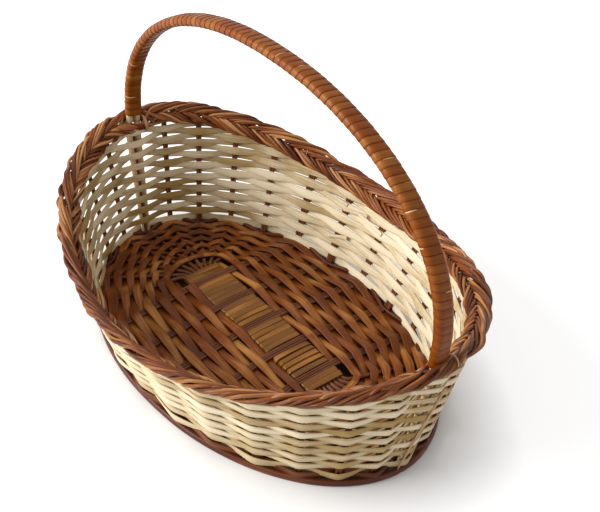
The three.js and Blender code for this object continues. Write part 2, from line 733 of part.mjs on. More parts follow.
// Tube with a wall, from the loops of its outside and of its bore, which end level with each other
function sleeve(outer, inner) {
  const sides = outer[0].length;
  const points = [...outer.flat(), ...inner.flat()];
  const innerStart = outer.length * sides;
  const triangles = [];
  const skin = (first, count, flip) => {
    for (let span = 0; span < count - 1; span += 1) {
      for (let side = 0; side < sides; side += 1) {
        const near = first + span * sides;
        const corners = [near + side, near + ((side + 1) % sides), near + sides + ((side + 1) % sides), near + sides + side];
        addQuad(triangles, flip ? corners.reverse() : corners);
      }
    }
  };
  skin(0, outer.length, false);
  skin(innerStart, inner.length, true);
  [[0, innerStart, true], [innerStart - sides, points.length - sides, false]].forEach(([rim, bore, flip]) => {
    for (let side = 0; side < sides; side += 1) {
      const next = (side + 1) % sides;
      const corners = [rim + side, rim + next, bore + next, bore + side];
      addQuad(triangles, flip ? corners.reverse() : corners);
    }
  });
  return body(points.flatMap((point) => [point.x, point.y, point.z]), triangles);
}

function addQuad(triangles, [a, b, c, d]) {
  triangles.push(a, b, c, a, c, d);
}

makeSticks();
makeFloorWeavers();
makeLadderWraps();
makeFoot();
makeStakes();
makeWall();
makePlait();
makeHandle();

export default basket;
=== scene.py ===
# Oval cane basket with a wrapped bow handle: the looks of every cane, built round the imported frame.
# Lengths inside the making of a piece are in millimetres; meshes are handed to Blender in metres.

import math

import bpy
import numpy as np
from mathutils import Matrix, Vector


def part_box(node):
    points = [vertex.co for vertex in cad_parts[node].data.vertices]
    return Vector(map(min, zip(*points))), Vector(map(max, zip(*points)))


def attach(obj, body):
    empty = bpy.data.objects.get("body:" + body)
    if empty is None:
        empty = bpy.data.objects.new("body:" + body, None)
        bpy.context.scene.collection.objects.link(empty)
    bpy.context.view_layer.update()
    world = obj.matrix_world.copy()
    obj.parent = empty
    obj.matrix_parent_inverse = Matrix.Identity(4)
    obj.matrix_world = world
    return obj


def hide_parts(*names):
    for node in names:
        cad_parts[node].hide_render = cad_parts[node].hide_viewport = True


bl_info = {
    "name": "Cane Basket",
    "version": (1, 0, 0),
    "blender": (4, 5, 0),
    "location": "3D View > Sidebar > Basket",
    "description": "Builds the canes, plait, handle winding and stage of an oval cane basket",
    "category": "Add Mesh",
}

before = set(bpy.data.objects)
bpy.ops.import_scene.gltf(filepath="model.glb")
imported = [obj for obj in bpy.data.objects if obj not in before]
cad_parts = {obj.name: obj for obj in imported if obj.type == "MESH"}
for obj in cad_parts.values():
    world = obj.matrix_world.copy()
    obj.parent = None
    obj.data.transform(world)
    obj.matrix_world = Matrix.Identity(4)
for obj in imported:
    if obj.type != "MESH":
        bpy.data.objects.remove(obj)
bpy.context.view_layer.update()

MM = 0.001
UP = np.array([0.0, 0.0, 1.0])
ACROSS_BOW = np.array([0.0, 1.0, 0.0])
CLEARANCE = 0.3  # room between canes that pass each other

# Counts. Stake 0 stands at the right end, and the numbers run by the far side to the left end
STAKES = 28
QUARTER = STAKES // 4
HALF = STAKES // 2
SIDE_REACH = 2  # stakes of three rods on each side of the middle one of a long side
STICK_REACH = 4  # long sticks on each side of the middle one
FULL_ROWS = 12
ROWS_UNDER_RIM = 2  # rows by which the short strips run in under the plait
FLOOR_ROWS = 13
STRANDS = 3
WRAP_TURNS = 5
END_WRAP_TURNS = 2

# Rim: the plait's middle line is an oval that rises to both ends, and its face is tilted outwards
RIM_A = 189.7
RIM_B = 137.5
RIM_LOW = 79.3
RIM_RISE = 37.6
RIM_POWER = 1.82
RIM_TILT = 0.649

# Plait: its half width, the swing of a strand's middle, the rise of its rods, and the wall's end below it
PLAIT_HALF = 11.7
PLAIT_SWING = 7.8
PLAIT_RISE = 3.0
UNDER_BULGE = 1.4
WALL_UNDER = 5.4245
PLAIT_RHYTHM = (0.34, 0.22, 0.20, 0.24)  # shares of a cycle, quarter by quarter from the outer edge
PLAIT_SOFTNESS = 0.94  # 1 would turn the rods sharply at the edges
RHYTHM_STEPS = 720  # steps in the table of a cycle, and how many on each side of one are averaged
RHYTHM_BLUR = 31
INWARD_SHIFT = 0.1  # share of the swing by which rods cross nearer the inner edge than the middle
RISE_SHARE = 0.6  # share of a rod's way in from an edge over which it rises, and the share in which it
DIVE_SHARE = 0.12  # dives under the others at the middle
EDGE_FAN = 1.0  # how far the rods of a strand fan out at the edges
ROD_SPLIT = 0.03  # extra trail of the two halves of a strand, in stakes
ROD_SHORT = 0.16  # share of the swing by which a rod stays short of the plait's edge, on average
RIM_STRAY = 0.15  # how much a rod that strays from its place in the fan also runs late
LEG_ROOM = 1.5  # beside a leg of the bow, before a rod may lean back over the leg's place
LEG_FALL = 0.9  # how fast it leans back, and how softly it begins to
LEG_ROUNDING = 0.6

# Foot: the oval of the stakes' feet, the hoop round it and the top of the cane woven above the hoop
FOOT_A = 171.0
FOOT_B = 111.0
STAKE_FOOT = 1.2
HOOP_HEIGHT = 4.6
HOOP_THICKNESS = 3.4
HOOP_SWELL = 1.2
FOOT_TOP = 9.7
FOOT_DIP = 2.2  # how far the woven cane sinks where it passes inside a stake
FOOT_SWELL = 1.12  # swelling of the woven cane at the stakes, and what is added between them
FOOT_SWELL_BETWEEN = 0.3

# Wall: free room between rows and how they end under the plait
ROW_GAP_SIDE = 0.25
ROW_GAP_END = 0.65
WALL_TOP_DROP = 7.2
ROW_INTO_RIM = 1.6
FIRST_ROW_DROP = 1.6  # the lowest row sits this much lower, and twice as much where it is outside
ROD_PITCH = 0.94  # spacing of the rods of a stake, as a share of their diameter
CHORD_SHARE = 0.55  # how far a row runs straight from stake to stake instead of round the oval

# Swelling of a strip: everywhere, along the sides, at each stake, and more at the stakes of both sides
STRIP_SWELL = 1.1
STRIP_SWELL_SIDE = 0.13
STAKE_SWELL = 0.2
STAKE_SWELL_NEAR = 0.42
STAKE_SWELL_FAR = 0.3
FIRST_ROW_SWELL = 0.12
END_PAINTED_SHADE = 0.26  # painted shade: how much darker the strips are drawn at both ends, where the end walls lie in shade

# Floor: a low dome with the ladder of sticks in its middle, nine long ones under five cross groups
FLOOR_EDGE = 6.4
FLOOR_DOME = 9.3
LADDER_HALF = 89.0
GROUP_PITCH = 35.3
STICK_PITCH = 3.8
CROSS_LIFT = 2.2
CROSS_PITCH = 0.97  # spacing of the rods of a cross group, as a share of their diameter
STICK_STEP = 4.0  # distance of the points along a stick

# Floor rows: room at both ends of a rib, the cane's size, and how far the last row reaches out
END_RIB_ROOM = 3.6
RIB_TIP_ROOM = 1.3
FLOOR_CANE = 4.6
FLOOR_CANE_THICK = 1.5
FLOOR_REACH_END = 4.4
FLOOR_REACH_SIDE = 7.4
SPAN_ROOM = 1.03  # how much higher a cane lies where it spans the ladder's end ribs

# Swelling of a floor cane: everywhere, at the ribs, in the last row, and more where ribs stand wide apart
FLOOR_SWELL = 1.17
FLOOR_SWELL_WIDE = 0.29
RIB_SWELL = 0.12
RIB_SWELL_WIDE = 0.2
LAST_ROW_SWELL = 0.16
LAST_ROW_RAMP = 8.0  # ribs over which the last row comes to its full swelling
RIBS_CLOSE = 12.0
RIBS_APART = 34.0

# Golden stretches of floor cane: their share, the rounds from the ladder that have them, and their tint
GOLDEN_SHARE = 0.6
GOLDEN_ROUNDS = 1.4
GOLDEN_TINT = 0.28

# Ladder wraps: how far they reach past their box, their crown and the radius of their corners
WRAP_OVERHANG = 1.6
END_WRAP_OVERHANG = 0.6
WRAP_CROWN = 0.6
WRAP_CORNER = 1.7
OVER_FROM = 0.05  # share of a turn at which the cane begins to lie square over the sticks, and stops
OVER_TO = 0.47
WRAP_START = 0.62  # share of a turn at which the cane begins, under the sticks, and ends, beside them
WRAP_STOP = 0.52

# Bow: its legs, its arch, the winding's foot and the two rods side by side
LEG_X = 188.0
LEG_TOP = 134.2
BOW_TOP = 270.2
BOW_POWER = 0.934
WRAP_FOOT = 119.0
LEG_FULL_DROP = 7.0
ROD_TIP = 2.8
ROD_SPREAD = 3.6
WRAP_LAP = 0.112  # how far a turn of the handle's cane may lie on the turn before it
LAP_SHIFT = 0.618034  # share of a wave from turn to turn, so that the laps don't repeat
WINDING_TILT = 0.045  # angle by which each turn is tilted, one edge raised
WINDING_START = 0.37  # share of a turn round the rods at which the cane begins
LEG_TINT = 0.22  # tint of the winding at the ground, and what is added up to the top of the bow
BOW_TINT = 0.4
TURN_GOLDEN_FROM = 0.85  # draw above which a turn is golden, what that adds, and how much turns differ
TURN_GOLDEN_TINT = 0.25
TURN_VARIETY = 0.16

# Trim: slivers of the handle's cane, ties round the plait and the splint on the end wall
SLIVER_WIDTH = 1.0
SLIVER_THICKNESS = 0.5
SLIVER_EVERY = 3  # turns from one sliver to the next
SLIVER_RUN = (0.12, 0.3)  # shortest and longest, in turns
SLIVER_PLACE = (0.36, 0.44)  # how far from the cane's middle, as a share of its width
SLIVER_LIFT = 0.42  # how far above the cane's middle, as a share of its thickness
TIE_THICKNESS = 0.8
TIE_RISE = 5.6
SPLINT_WIDTH = 2.4
SPLINT_LOW = 3.0
SPLINT_HIGH = 101.0
SPLINT_FROM = -0.066  # angle round the wall at the splint's low end and at its high end
SPLINT_TO = 0.03
SPLINT_POINT = 8.0  # height over which its low end thins out

# Ties: leg, side of the bow, room beside its rods, middle and half width across the plait
TIES = ((np.pi, -1, 2.0, -6.0, 7.0), (np.pi, -1, 3.4, -6.4, 6.6), (0.0, 1, 2.2, 4.6, 5.6))

# Loose ends on the far wall: stake, height, rise over the end and its length
LOOSE_ENDS = ((6.9, 54.0, 5.0, 26.0), (7.4, 60.0, -4.0, 22.0), (7.95, 60.0, 3.0, 24.0),
              (7.7, 34.0, -6.0, 20.0))
LOOSE_ROOM = 0.5  # room between a loose end and the wall, how far it curls away and how much it twists
LOOSE_CURL = 2.2
LOOSE_TWIST = 0.2
LOOSE_THIN = 0.6  # thickness of a loose end, as a share of the strip's

# Corner radius of a swept section, as a share of its thinner side
ROUND_ROD = 0.49
FLAT_CANE = 0.46
FLAT_STRIP = 0.42
HOOP_CORNER = 0.44
SPLIT_END = 1 / 3

# Stains that the dark end of a finish leans to, the dark end also being the colour of the painted shade on a
# cane's flanks, and bleached tones for the pale end
FLOOR_STAIN_AND_SHADE = (0.03, 0.008, 0.003)
WRAP_STAIN_AND_SHADE = (0.05, 0.012, 0.003)
FOOT_STAIN_AND_SHADE = (0.02, 0.006, 0.003)
RIM_STAIN_AND_SHADE = (0.03, 0.008, 0.004)
HANDLE_STAIN_AND_SHADE = (0.14, 0.020, 0.002)
BLEACHED_STRIP = (0.86, 0.76, 0.56)
BLEACHED_ROD = (0.8, 0.66, 0.45)
BLEACHED_SLIVER = (0.9, 0.8, 0.6)

# Fibres in a finish: how fine they are along and across, and what shifts the colour
FIBRES_ALONG = 28.0
FIBRES_ACROSS = 3.4
OTHER_SIDE = 9.0  # shift between the fibres of a cane's two faces
FIBRE_SHARE = 0.6
TINT_SHARE = 0.45
BLOTCH_SCALE = 38.0
DARK_REACH = 0.24
PALE_REACH = 0.26

# Stage: the photograph's camera, the lamp and the ground
CAMERA_AZIMUTH = 49.5744
CAMERA_ELEVATION = 38.4835
CAMERA_ROLL = 3.4772
CAMERA_DISTANCE = 912.0178
CAMERA_AIM = (0.0, 0.0, 100.0)
SHIFT_X = 34.6243 / 600
SHIFT_Y = -11.3381 / 600
KEY_PLACE = (-0.85, -1.4, 0.88)
KEY_SIZE = 1.4
LIT_POINT = (0.0, 0.0, 0.08)
GROUND_REACH = 6.0
GROUND_LEVEL = -0.0002
# Painted shade: the ground inside the foot's oval is drawn in this dark colour, as it lies in the basket's
# shade.
SHADED_GROUND = (0.14, 0.075, 0.035)
SHADE_EDGE = (0.97, 1.03)  # where the painted shade fades out and the glow grows, as shares of the foot's oval
GLOW_EDGE = (1.04, 1.5)
WHITE = (1.0, 1.0, 1.0, 1.0)


def length(name, text, default):
    """A size in metres with its name and description, given in millimetres."""
    return bpy.props.FloatProperty(name=name, description=text, default=default * MM, min=0.0,
                                   precision=5, unit="LENGTH", subtype="DISTANCE")


def colour(name, text, default):
    """A linear colour without alpha."""
    return bpy.props.FloatVectorProperty(name=name, description=text, default=default, size=3,
                                         min=0.0, max=1.0, subtype="COLOR")


class BASKET_PG_sizes(bpy.types.PropertyGroup):
    """Sizes of the canes"""
    strip_width: length("Strip width", "Width of the pale flat strips of the wall", 4.9)
    strip_thickness: length("Strip thickness", "Thickness of the pale flat strips", 0.9)
    end_rod: length("End stake rod", "Diameter of the paired rods at the ends", 2.6)
    side_rod: length("Side stake rod", "Diameter of the three rods at the sides", 2.4)
    foot_height: length("Foot cane height", "Height of the cane woven above the foot's hoop", 4.5)
    foot_thickness: length("Foot cane thickness", "Thickness of the cane woven above the hoop", 2.2)
    long_stick: length("Long stick", "Diameter of the long sticks of the floor", 3.4)
    floor_width: length("Floor cane width", "Width of the flattened canes of the floor", 4.9)
    floor_thickness: length("Floor cane thickness", "Thickness of the flattened canes", 1.15)
    wrap_width: length("Ladder wrap width", "Width of the cane wound round the ladder", 5.45)
    wrap_thickness: length("Ladder wrap thickness", "Thickness of the ladder's cane", 1.1)
    rim_rod: length("Rim rod", "Diameter of the thin rods in the plait", 2.7)
    rim_rods: bpy.props.IntProperty(name="Rods in a strand", default=6, min=1, max=8,
                                    description="Thin rods side by side in each strand")
    rim_rod_shift: bpy.props.FloatProperty(name="Rod shift", default=0.15, min=0.0, max=0.3,
                                           description="How far each rod trails the next, in stakes")
    handle_rod: length("Handle rod", "Diameter of the two rods of the bow", 6.0)
    handle_turn: length("Handle turn width", "Width of the flat cane wound round the bow", 6.3)
    handle_skin: length("Handle cane thickness", "Thickness of the cane wound round the bow", 0.8)
    handle_turns: bpy.props.IntProperty(name="Handle turns", default=87, min=10, max=200,
                                        description="Turns of flat cane round the bow")
    tie: length("Tie width", "Width of the thin cane that ties the handle to the rim", 1.3)


class BASKET_PG_colours(bpy.types.PropertyGroup):
    """Linear colours of the canes"""
    strip: colour("Pale strip", "Flat strips of the wall", (0.765, 0.65, 0.45))
    # Dark colour of the strips: their tan and olive streaks, and the painted shade at the wall's ends and on
    # their flanks.
    strip_streak_and_shade: colour("Strip streak", "Tan and olive streaks of the strips", (0.36, 0.235, 0.08))
    stake: colour("Stake", "Dark stained stakes and sticks", (0.085, 0.022, 0.008))
    stake_light: colour("Stake light", "Worn places of the stakes", (0.24, 0.085, 0.03))
    rim: colour("Rim", "Red-brown rods of the plait", (0.20, 0.047, 0.006))
    rim_light: colour("Rim light", "Lighter rods of the plait", (0.45, 0.205, 0.07))
    foot: colour("Foot", "Dark canes of the foot", (0.095, 0.020, 0.005))
    floor: colour("Floor", "Brown canes of the floor", (0.205, 0.046, 0.001))
    floor_light: colour("Floor light", "Golden canes of the floor", (0.50, 0.21, 0.045))
    wrap: colour("Ladder wrap", "Golden cane wound round the ladder", (0.225, 0.082, 0.003))
    handle: colour("Handle", "Orange-brown cane wound round the bow", (0.195, 0.047, 0.001))
    handle_light: colour("Handle light", "Paler slivers of the handle's cane", (0.50, 0.26, 0.05))
    bare: colour("Bare rod", "Peeled pale rods of the handle", (0.60, 0.42, 0.24))


class BASKET_PG_stage(bpy.types.PropertyGroup):
    """Camera, light and ground"""
    lens: bpy.props.FloatProperty(name="Lens", description="Focal length of the camera", default=69.52,
                                  min=10.0, subtype="DISTANCE_CAMERA", unit="CAMERA")
    world_level: bpy.props.FloatProperty(name="World level", default=0.68, min=0.0,
                                         description="Brightness of the soft light all round")
    key_power: bpy.props.FloatProperty(name="Key power", default=50.0, min=0.0, unit="POWER",
                                       description="Power of the large soft lamp")
    ground_glow: bpy.props.FloatProperty(name="Ground glow", default=0.5, min=0.0,
                                         description="Glow of the ground that only the background's rays see")
    ground: colour("Ground", "Colour of the pale floor under the basket", (0.72, 0.72, 0.72))


# Small vector sums on whole arrays of points

def unit(v):
    """Vectors made one long."""
    return v / np.maximum(np.linalg.norm(v, axis=-1, keepdims=True), 1e-12)


def columns(*parts):
    """Points from their x, y and z, each an array or one number."""
    return np.stack(np.broadcast_arrays(*[np.asarray(part, float) for part in parts]), axis=-1)


def dot(a, b):
    """Dot product of each pair of vectors, kept as a column."""
    return (a * b).sum(axis=-1, keepdims=True)


def lerp(a, b, t):
    """From a to b by a share, one share for each point."""
    t = np.asarray(t)
    if np.ndim(a) > 1 and t.ndim == 1:
        t = t[:, None]
    return a + (b - a) * t


def tangents(points, closed=False):
    """The way a line runs at each of its points."""
    if closed:
        return unit(np.roll(points, -1, axis=0) - np.roll(points, 1, axis=0))
    return unit(np.gradient(points, axis=0))


def facing(points, wanted, closed=False):
    """The wanted facing direction at each point, made square to the line."""
    along = tangents(points, closed)
    return unit(wanted - dot(wanted, along) * along)


def rolled(faces, points, roll, closed=False):
    """Faces turned about the line by an angle at each point."""
    along = tangents(points, closed)
    side = np.cross(along, faces)
    roll = np.asarray(roll)[..., None]
    return faces * np.cos(roll) + side * np.sin(roll)


def wander(rng, count, every, by, closed=False):
    """Smooth random values along a line, up to an amount either way, a fresh one every few points."""
    knots = max(int(round(count / every)), 2)
    values = rng.uniform(-by, by, knots + (0 if closed else 1))
    if closed:
        values = np.append(values, values[0])
    place = np.linspace(0, knots, count, endpoint=not closed)
    low = np.minimum(place.astype(int), knots - 1)
    share = place - low
    share = share * share * (3 - 2 * share)
    return values[low] * (1 - share) + values[low + 1] * share


# The basket's own lines: rim, wall and stakes

def stake_angle(index):
    """Angle round the oval at a stake number, whole or not."""
    return np.asarray(index, float) * 2 * np.pi / STAKES


def outward(angle, a, b):
    """Level direction square to an oval of half axes a and b."""
    return unit(columns(b * np.cos(angle), a * np.sin(angle), 0.0))


def rim_height(angle):
    """Height of the plait's middle line, lowest at the sides."""
    return RIM_LOW + RIM_RISE * np.abs(np.cos(angle)) ** RIM_POWER


def rim_point(angle):
    """Point on the plait's middle line."""
    return columns(RIM_A * np.cos(angle), RIM_B * np.sin(angle), rim_height(angle))


def rim_frame(angle):
    """Directions along the plait, across its face and through it."""
    along = unit(rim_point(angle + 0.002) - rim_point(angle - 0.002))
    out = outward(angle, RIM_A, RIM_B)
    raised = unit(np.cross(out, along))
    across = out * math.cos(RIM_TILT) + raised * math.sin(RIM_TILT)
    through = raised * math.cos(RIM_TILT) - out * math.sin(RIM_TILT)
    return along, across, through


def wall_top(angle):
    """Point under the plait where the stakes end."""
    _, across, through = rim_frame(angle)
    return rim_point(angle) - across * PLAIT_SWING / 2 - through * WALL_UNDER


def wall_foot(angle):
    """Point near the ground where the stakes stand."""
    return columns(FOOT_A * np.cos(angle), FOOT_B * np.sin(angle), STAKE_FOOT)


def wall_line(angle, height):
    """Point on the straight line from a stake's foot to its top."""
    foot, top = wall_foot(angle), wall_top(angle)
    share = (np.asarray(height) - foot[..., 2]) / (top[..., 2] - foot[..., 2])
    return foot + (top - foot) * share[..., None]


def wall_frame(angle):
    """Directions up the wall, round it and out of it."""
    lean = unit(wall_top(angle) - wall_foot(angle))
    side = np.cross(UP, outward(angle, FOOT_A, FOOT_B))
    return lean, side, unit(np.cross(side, lean))


def is_side(index):
    """True for the five stakes in the middle of each long side."""
    return abs(index % HALF - QUARTER) <= SIDE_REACH


def is_leg(index):
    """True for the two stakes under the legs of the bow."""
    return index % HALF == 0


def stake_rods(index, sizes):
    """Number of rods in a stake and their diameter in millimetres."""
    if is_leg(index):
        return 1, sizes.end_rod / MM
    if is_side(index):
        return 3, sizes.side_rod / MM
    return 2, sizes.end_rod / MM


def leg_share(height):
    """How far up its taper a handle rod is, from 0 at the stake's foot to 1 where it is full."""
    full = rim_height(0.0) - LEG_FULL_DROP
    return min(max((height - STAKE_FOOT) / (full - STAKE_FOOT), 0.0), 1.0)


def leg_radius(height, rod):
    """Radius of a handle rod at a height, thinner towards its tip."""
    return (ROD_TIP + (rod - ROD_TIP) * leg_share(height)) / 2


def clear_swings(posts, closed, rounds=12):
    """How far a cane swings at each post so that it clears the post and its slope to the next one.

    A post is the room its rods need, how far they reach along the row, how far the row's oval bulges
    between it and the next post, and the distance to that post. The swings settle in a few rounds.
    """
    last = len(posts) - 1
    swings = [post[0] for post in posts]
    for _ in range(rounds):
        fresh = []
        for index, (need, reach, bulge, spacing) in enumerate(posts):
            pair = []
            if closed or index > 0:
                pair.append((index - 1 if index else last, posts[index - 1][3]))
            if closed or index < last:
                pair.append((index + 1 if index < last else 0, spacing))
            wanted = []
            for other, gap in pair:
                across = swings[other] + bulge
                slope = (swings[index] + across) / gap
                wanted.append((need * math.hypot(1, slope) + across * reach / gap) / (1 - reach / gap))
            fresh.append(max(wanted))
        swings = fresh
    return np.array(swings)


def stake_posts(sizes, thickness, width, top, upright):
    """Posts, as clear_swings takes them, for a cane of that section woven round the stakes up to a height."""
    posts = []
    for index in range(STAKES):
        angle = stake_angle(index)
        count, diameter = stake_rods(index, sizes)
        reach, radius = (count - 1) * diameter * ROD_PITCH / 2, diameter / 2
        if is_leg(index):
            radius = leg_radius(top, sizes.handle_rod / MM)
            reach = sizes.end_rod / MM / 2 + CLEARANCE + radius
        out = wall_frame(angle)[2]
        slope = abs(out[2]) * width / 2 if upright else 0.0
        step = wall_foot(stake_angle(index + 1)) - wall_foot(angle)
        bulge = abs(float(step @ outward(angle, FOOT_A, FOOT_B)))
        need = (radius + CLEARANCE + thickness / 2 + slope) / math.hypot(out[0], out[1])
        posts.append((need, reach, bulge, float(np.linalg.norm(step))))
    return posts


def stake_swings(sizes, thickness, width, top, upright):
    """How far a cane of that section swings out or in at each stake."""
    return clear_swings(stake_posts(sizes, thickness, width, top, upright), True)


def row_height(row, angle, sizes):
    """Height of the middle of a wall row."""
    gap = ROW_GAP_SIDE + (ROW_GAP_END - ROW_GAP_SIDE) * np.abs(np.cos(angle))
    free = FOOT_TOP + (row + 0.5) * (sizes.strip_width / MM + gap)
    return np.minimum(free, wall_top(np.asarray(angle))[..., 2] + ROW_INTO_RIM)


def rows_that_fit(angle, sizes):
    """Wall rows that have room between the foot and the plait."""
    gap = ROW_GAP_SIDE + (ROW_GAP_END - ROW_GAP_SIDE) * abs(math.cos(angle))
    room = rim_height(angle) - WALL_TOP_DROP - FOOT_TOP
    return int(room / (sizes.strip_width / MM + gap))


def bend(t, softness=0.965):
    """Runs from 1 through 0 to -1 over one stake spacing, nearly straight and rounded at the stakes."""
    return np.arcsin(softness * np.cos(np.pi * t)) / math.asin(softness)


# Canes are lines first: points, facing, swell and tint, swept by Geometry Nodes

class CaneLines:
    """Lines of one piece, each point with the way its cane faces, its swell and its tint."""

    def __init__(self):
        self.points, self.faces, self.swell, self.tint, self.edges = [], [], [], [], []
        self.count = 0

    def add(self, points, faces, swell=1.0, tint=0.5, closed=False):
        """One more line, its faces made square to it."""
        size = len(points)
        self.points.append(points)
        self.faces.append(facing(points, faces, closed))
        self.swell.append(np.broadcast_to(np.asarray(swell, float), (size,)))
        self.tint.append(np.broadcast_to(np.asarray(tint, float), (size,)))
        first = np.arange(self.count, self.count + size - 1)
        self.edges.append(np.stack([first, first + 1], axis=1))
        if closed:
            self.edges.append(np.array([[self.count + size - 1, self.count]]))
        self.count += size

    def mesh(self, name):
        """All lines as one mesh of edges, in metres, with their values on its points."""
        mesh = bpy.data.meshes.new(name)
        points = np.concatenate(self.points) * MM
        edges = np.concatenate(self.edges)
        mesh.from_pydata(points.tolist(), edges.tolist(), [])
        for label, values, kind, slot in (("face", self.faces, "FLOAT_VECTOR", "vector"),
                                          ("swell", self.swell, "FLOAT", "value"),
                                          ("tint", self.tint, "FLOAT", "value")):
            data = mesh.attributes.new(label, kind, "POINT").data
            data.foreach_set(slot, np.concatenate(values).astype(np.float32).ravel())
        return mesh


def linked(tree, kind, inputs=None, **settings):
    """A new node with its settings, and its inputs set to values or linked to other nodes' outputs."""
    node = tree.nodes.new(kind)
    for key, value in settings.items():
        setattr(node, key, value)
    for key, value in (inputs or {}).items():
        if isinstance(value, bpy.types.NodeSocket):
            tree.links.new(value, node.inputs[key])
        else:
            node.inputs[key].default_value = value
    return node


def math_node(tree, operation, *values):
    """The result of a Math node on plain values or other nodes' outputs."""
    return linked(tree, "ShaderNodeMath", dict(enumerate(values)), operation=operation).outputs[0]


def stored(tree, geometry, name, value):
    """Geometry that carries a named value on each point."""
    node = linked(tree, "GeometryNodeStoreNamedAttribute",
                  {"Geometry": geometry, "Name": name, "Value": value}, data_type="FLOAT", domain="POINT")
    return node.outputs[0]


def cane_tree():
    """Sweeps a rounded flat or round section along each line, turned by the line's facing."""
    name = "Swept cane"
    if name in bpy.data.node_groups:
        return bpy.data.node_groups[name]
    tree = bpy.data.node_groups.new(name, "GeometryNodeTree")
    for label, kind, default in (("Lines", "Geometry", None), ("Width", "Float", 0.005),
                                 ("Thickness", "Float", 0.001), ("Rounding", "Float", 0.0004),
                                 ("Corner Steps", "Int", 2), ("Finish", "Material", None)):
        socket = tree.interface.new_socket(label, in_out="INPUT", socket_type="NodeSocket" + kind)
        if default is not None:
            socket.default_value = default
    tree.interface.new_socket("Canes", in_out="OUTPUT", socket_type="NodeSocketGeometry")
    entry = tree.nodes.new("NodeGroupInput").outputs
    face = linked(tree, "GeometryNodeInputNamedAttribute", {"Name": "face"}, data_type="FLOAT_VECTOR")
    swell = linked(tree, "GeometryNodeInputNamedAttribute", {"Name": "swell"}, data_type="FLOAT")
    curve = linked(tree, "GeometryNodeMeshToCurve", {"Mesh": entry["Lines"]})
    turned = linked(tree, "GeometryNodeSetCurveNormal",
                    {"Curve": curve.outputs[0], "Normal": face.outputs[0]}, mode="FREE")
    spline = tree.nodes.new("GeometryNodeSplineParameter")
    path = stored(tree, turned.outputs[0], "run", spline.outputs["Length"])
    outline = linked(tree, "GeometryNodeCurvePrimitiveQuadrilateral",
                     {"Width": entry["Thickness"], "Height": entry["Width"]})
    fillet = linked(tree, "GeometryNodeFilletCurve",
                    {"Curve": outline.outputs[0], "Radius": entry["Rounding"],
                     "Count": entry["Corner Steps"], "Limit Radius": True}, mode="POLY")
    place = linked(tree, "ShaderNodeSeparateXYZ", {0: tree.nodes.new("GeometryNodeInputPosition").outputs[0]})
    half_width = math_node(tree, "MULTIPLY", entry["Width"], 0.5)
    lane = math_node(tree, "DIVIDE", place.outputs["Y"], half_width)
    side = math_node(tree, "GREATER_THAN", place.outputs["X"], 0.0)
    section = stored(tree, stored(tree, fillet.outputs[0], "lane", lane), "side", side)
    swept = linked(tree, "GeometryNodeCurveToMesh", {"Curve": path, "Profile Curve": section,
                                                     "Scale": swell.outputs[0], "Fill Caps": True})
    smooth = linked(tree, "GeometryNodeSetShadeSmooth", {"Geometry": swept.outputs[0]})
    real = linked(tree, "GeometryNodeRealizeInstances", {"Geometry": smooth.outputs[0]})
    finish = linked(tree, "GeometryNodeSetMaterial",
                    {"Geometry": real.outputs[0], "Material": entry["Finish"]})
    way_out = tree.nodes.new("NodeGroupOutput")
    tree.links.new(finish.outputs[0], way_out.inputs[0])
    return tree


def sweep(name, lines, material, width, thickness, replaced, roundness=0.45, steps=2):
    """One piece: its lines swept by the cane tree and turned into a plain mesh that rides on the frame."""
    thing = bpy.data.objects.new(name, lines.mesh(name))
    bpy.context.scene.collection.objects.link(thing)
    modifier = thing.modifiers.new("Canes", "NODES")
    modifier.node_group = cane_tree()
    rounding = min(width, thickness) * roundness
    inputs = {"Width": width * MM, "Thickness": thickness * MM, "Rounding": rounding * MM,
              "Corner Steps": steps, "Finish": material}
    for item in modifier.node_group.interface.items_tree:
        if item.in_out == "INPUT" and item.name in inputs:
            modifier[item.identifier] = inputs[item.name]
    graph = bpy.context.evaluated_depsgraph_get()
    swept = bpy.data.meshes.new_from_object(thing.evaluated_get(graph), depsgraph=graph)
    thing.modifiers.clear()
    old = thing.data
    thing.data = swept
    swept.name = name
    bpy.data.meshes.remove(old)
    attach(thing, "root")
    if replaced:
        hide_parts(*replaced)
    return thing


# Finishes: fibres run along each cane, tint shifts a whole cane, blotches cross them, and painted shade
# darkens each cane's flanks

def mixed_colour(a, b, share):
    """A colour between two, nearer the second with a larger share."""
    return tuple(x + (y - x) * share for x, y in zip(a, b))


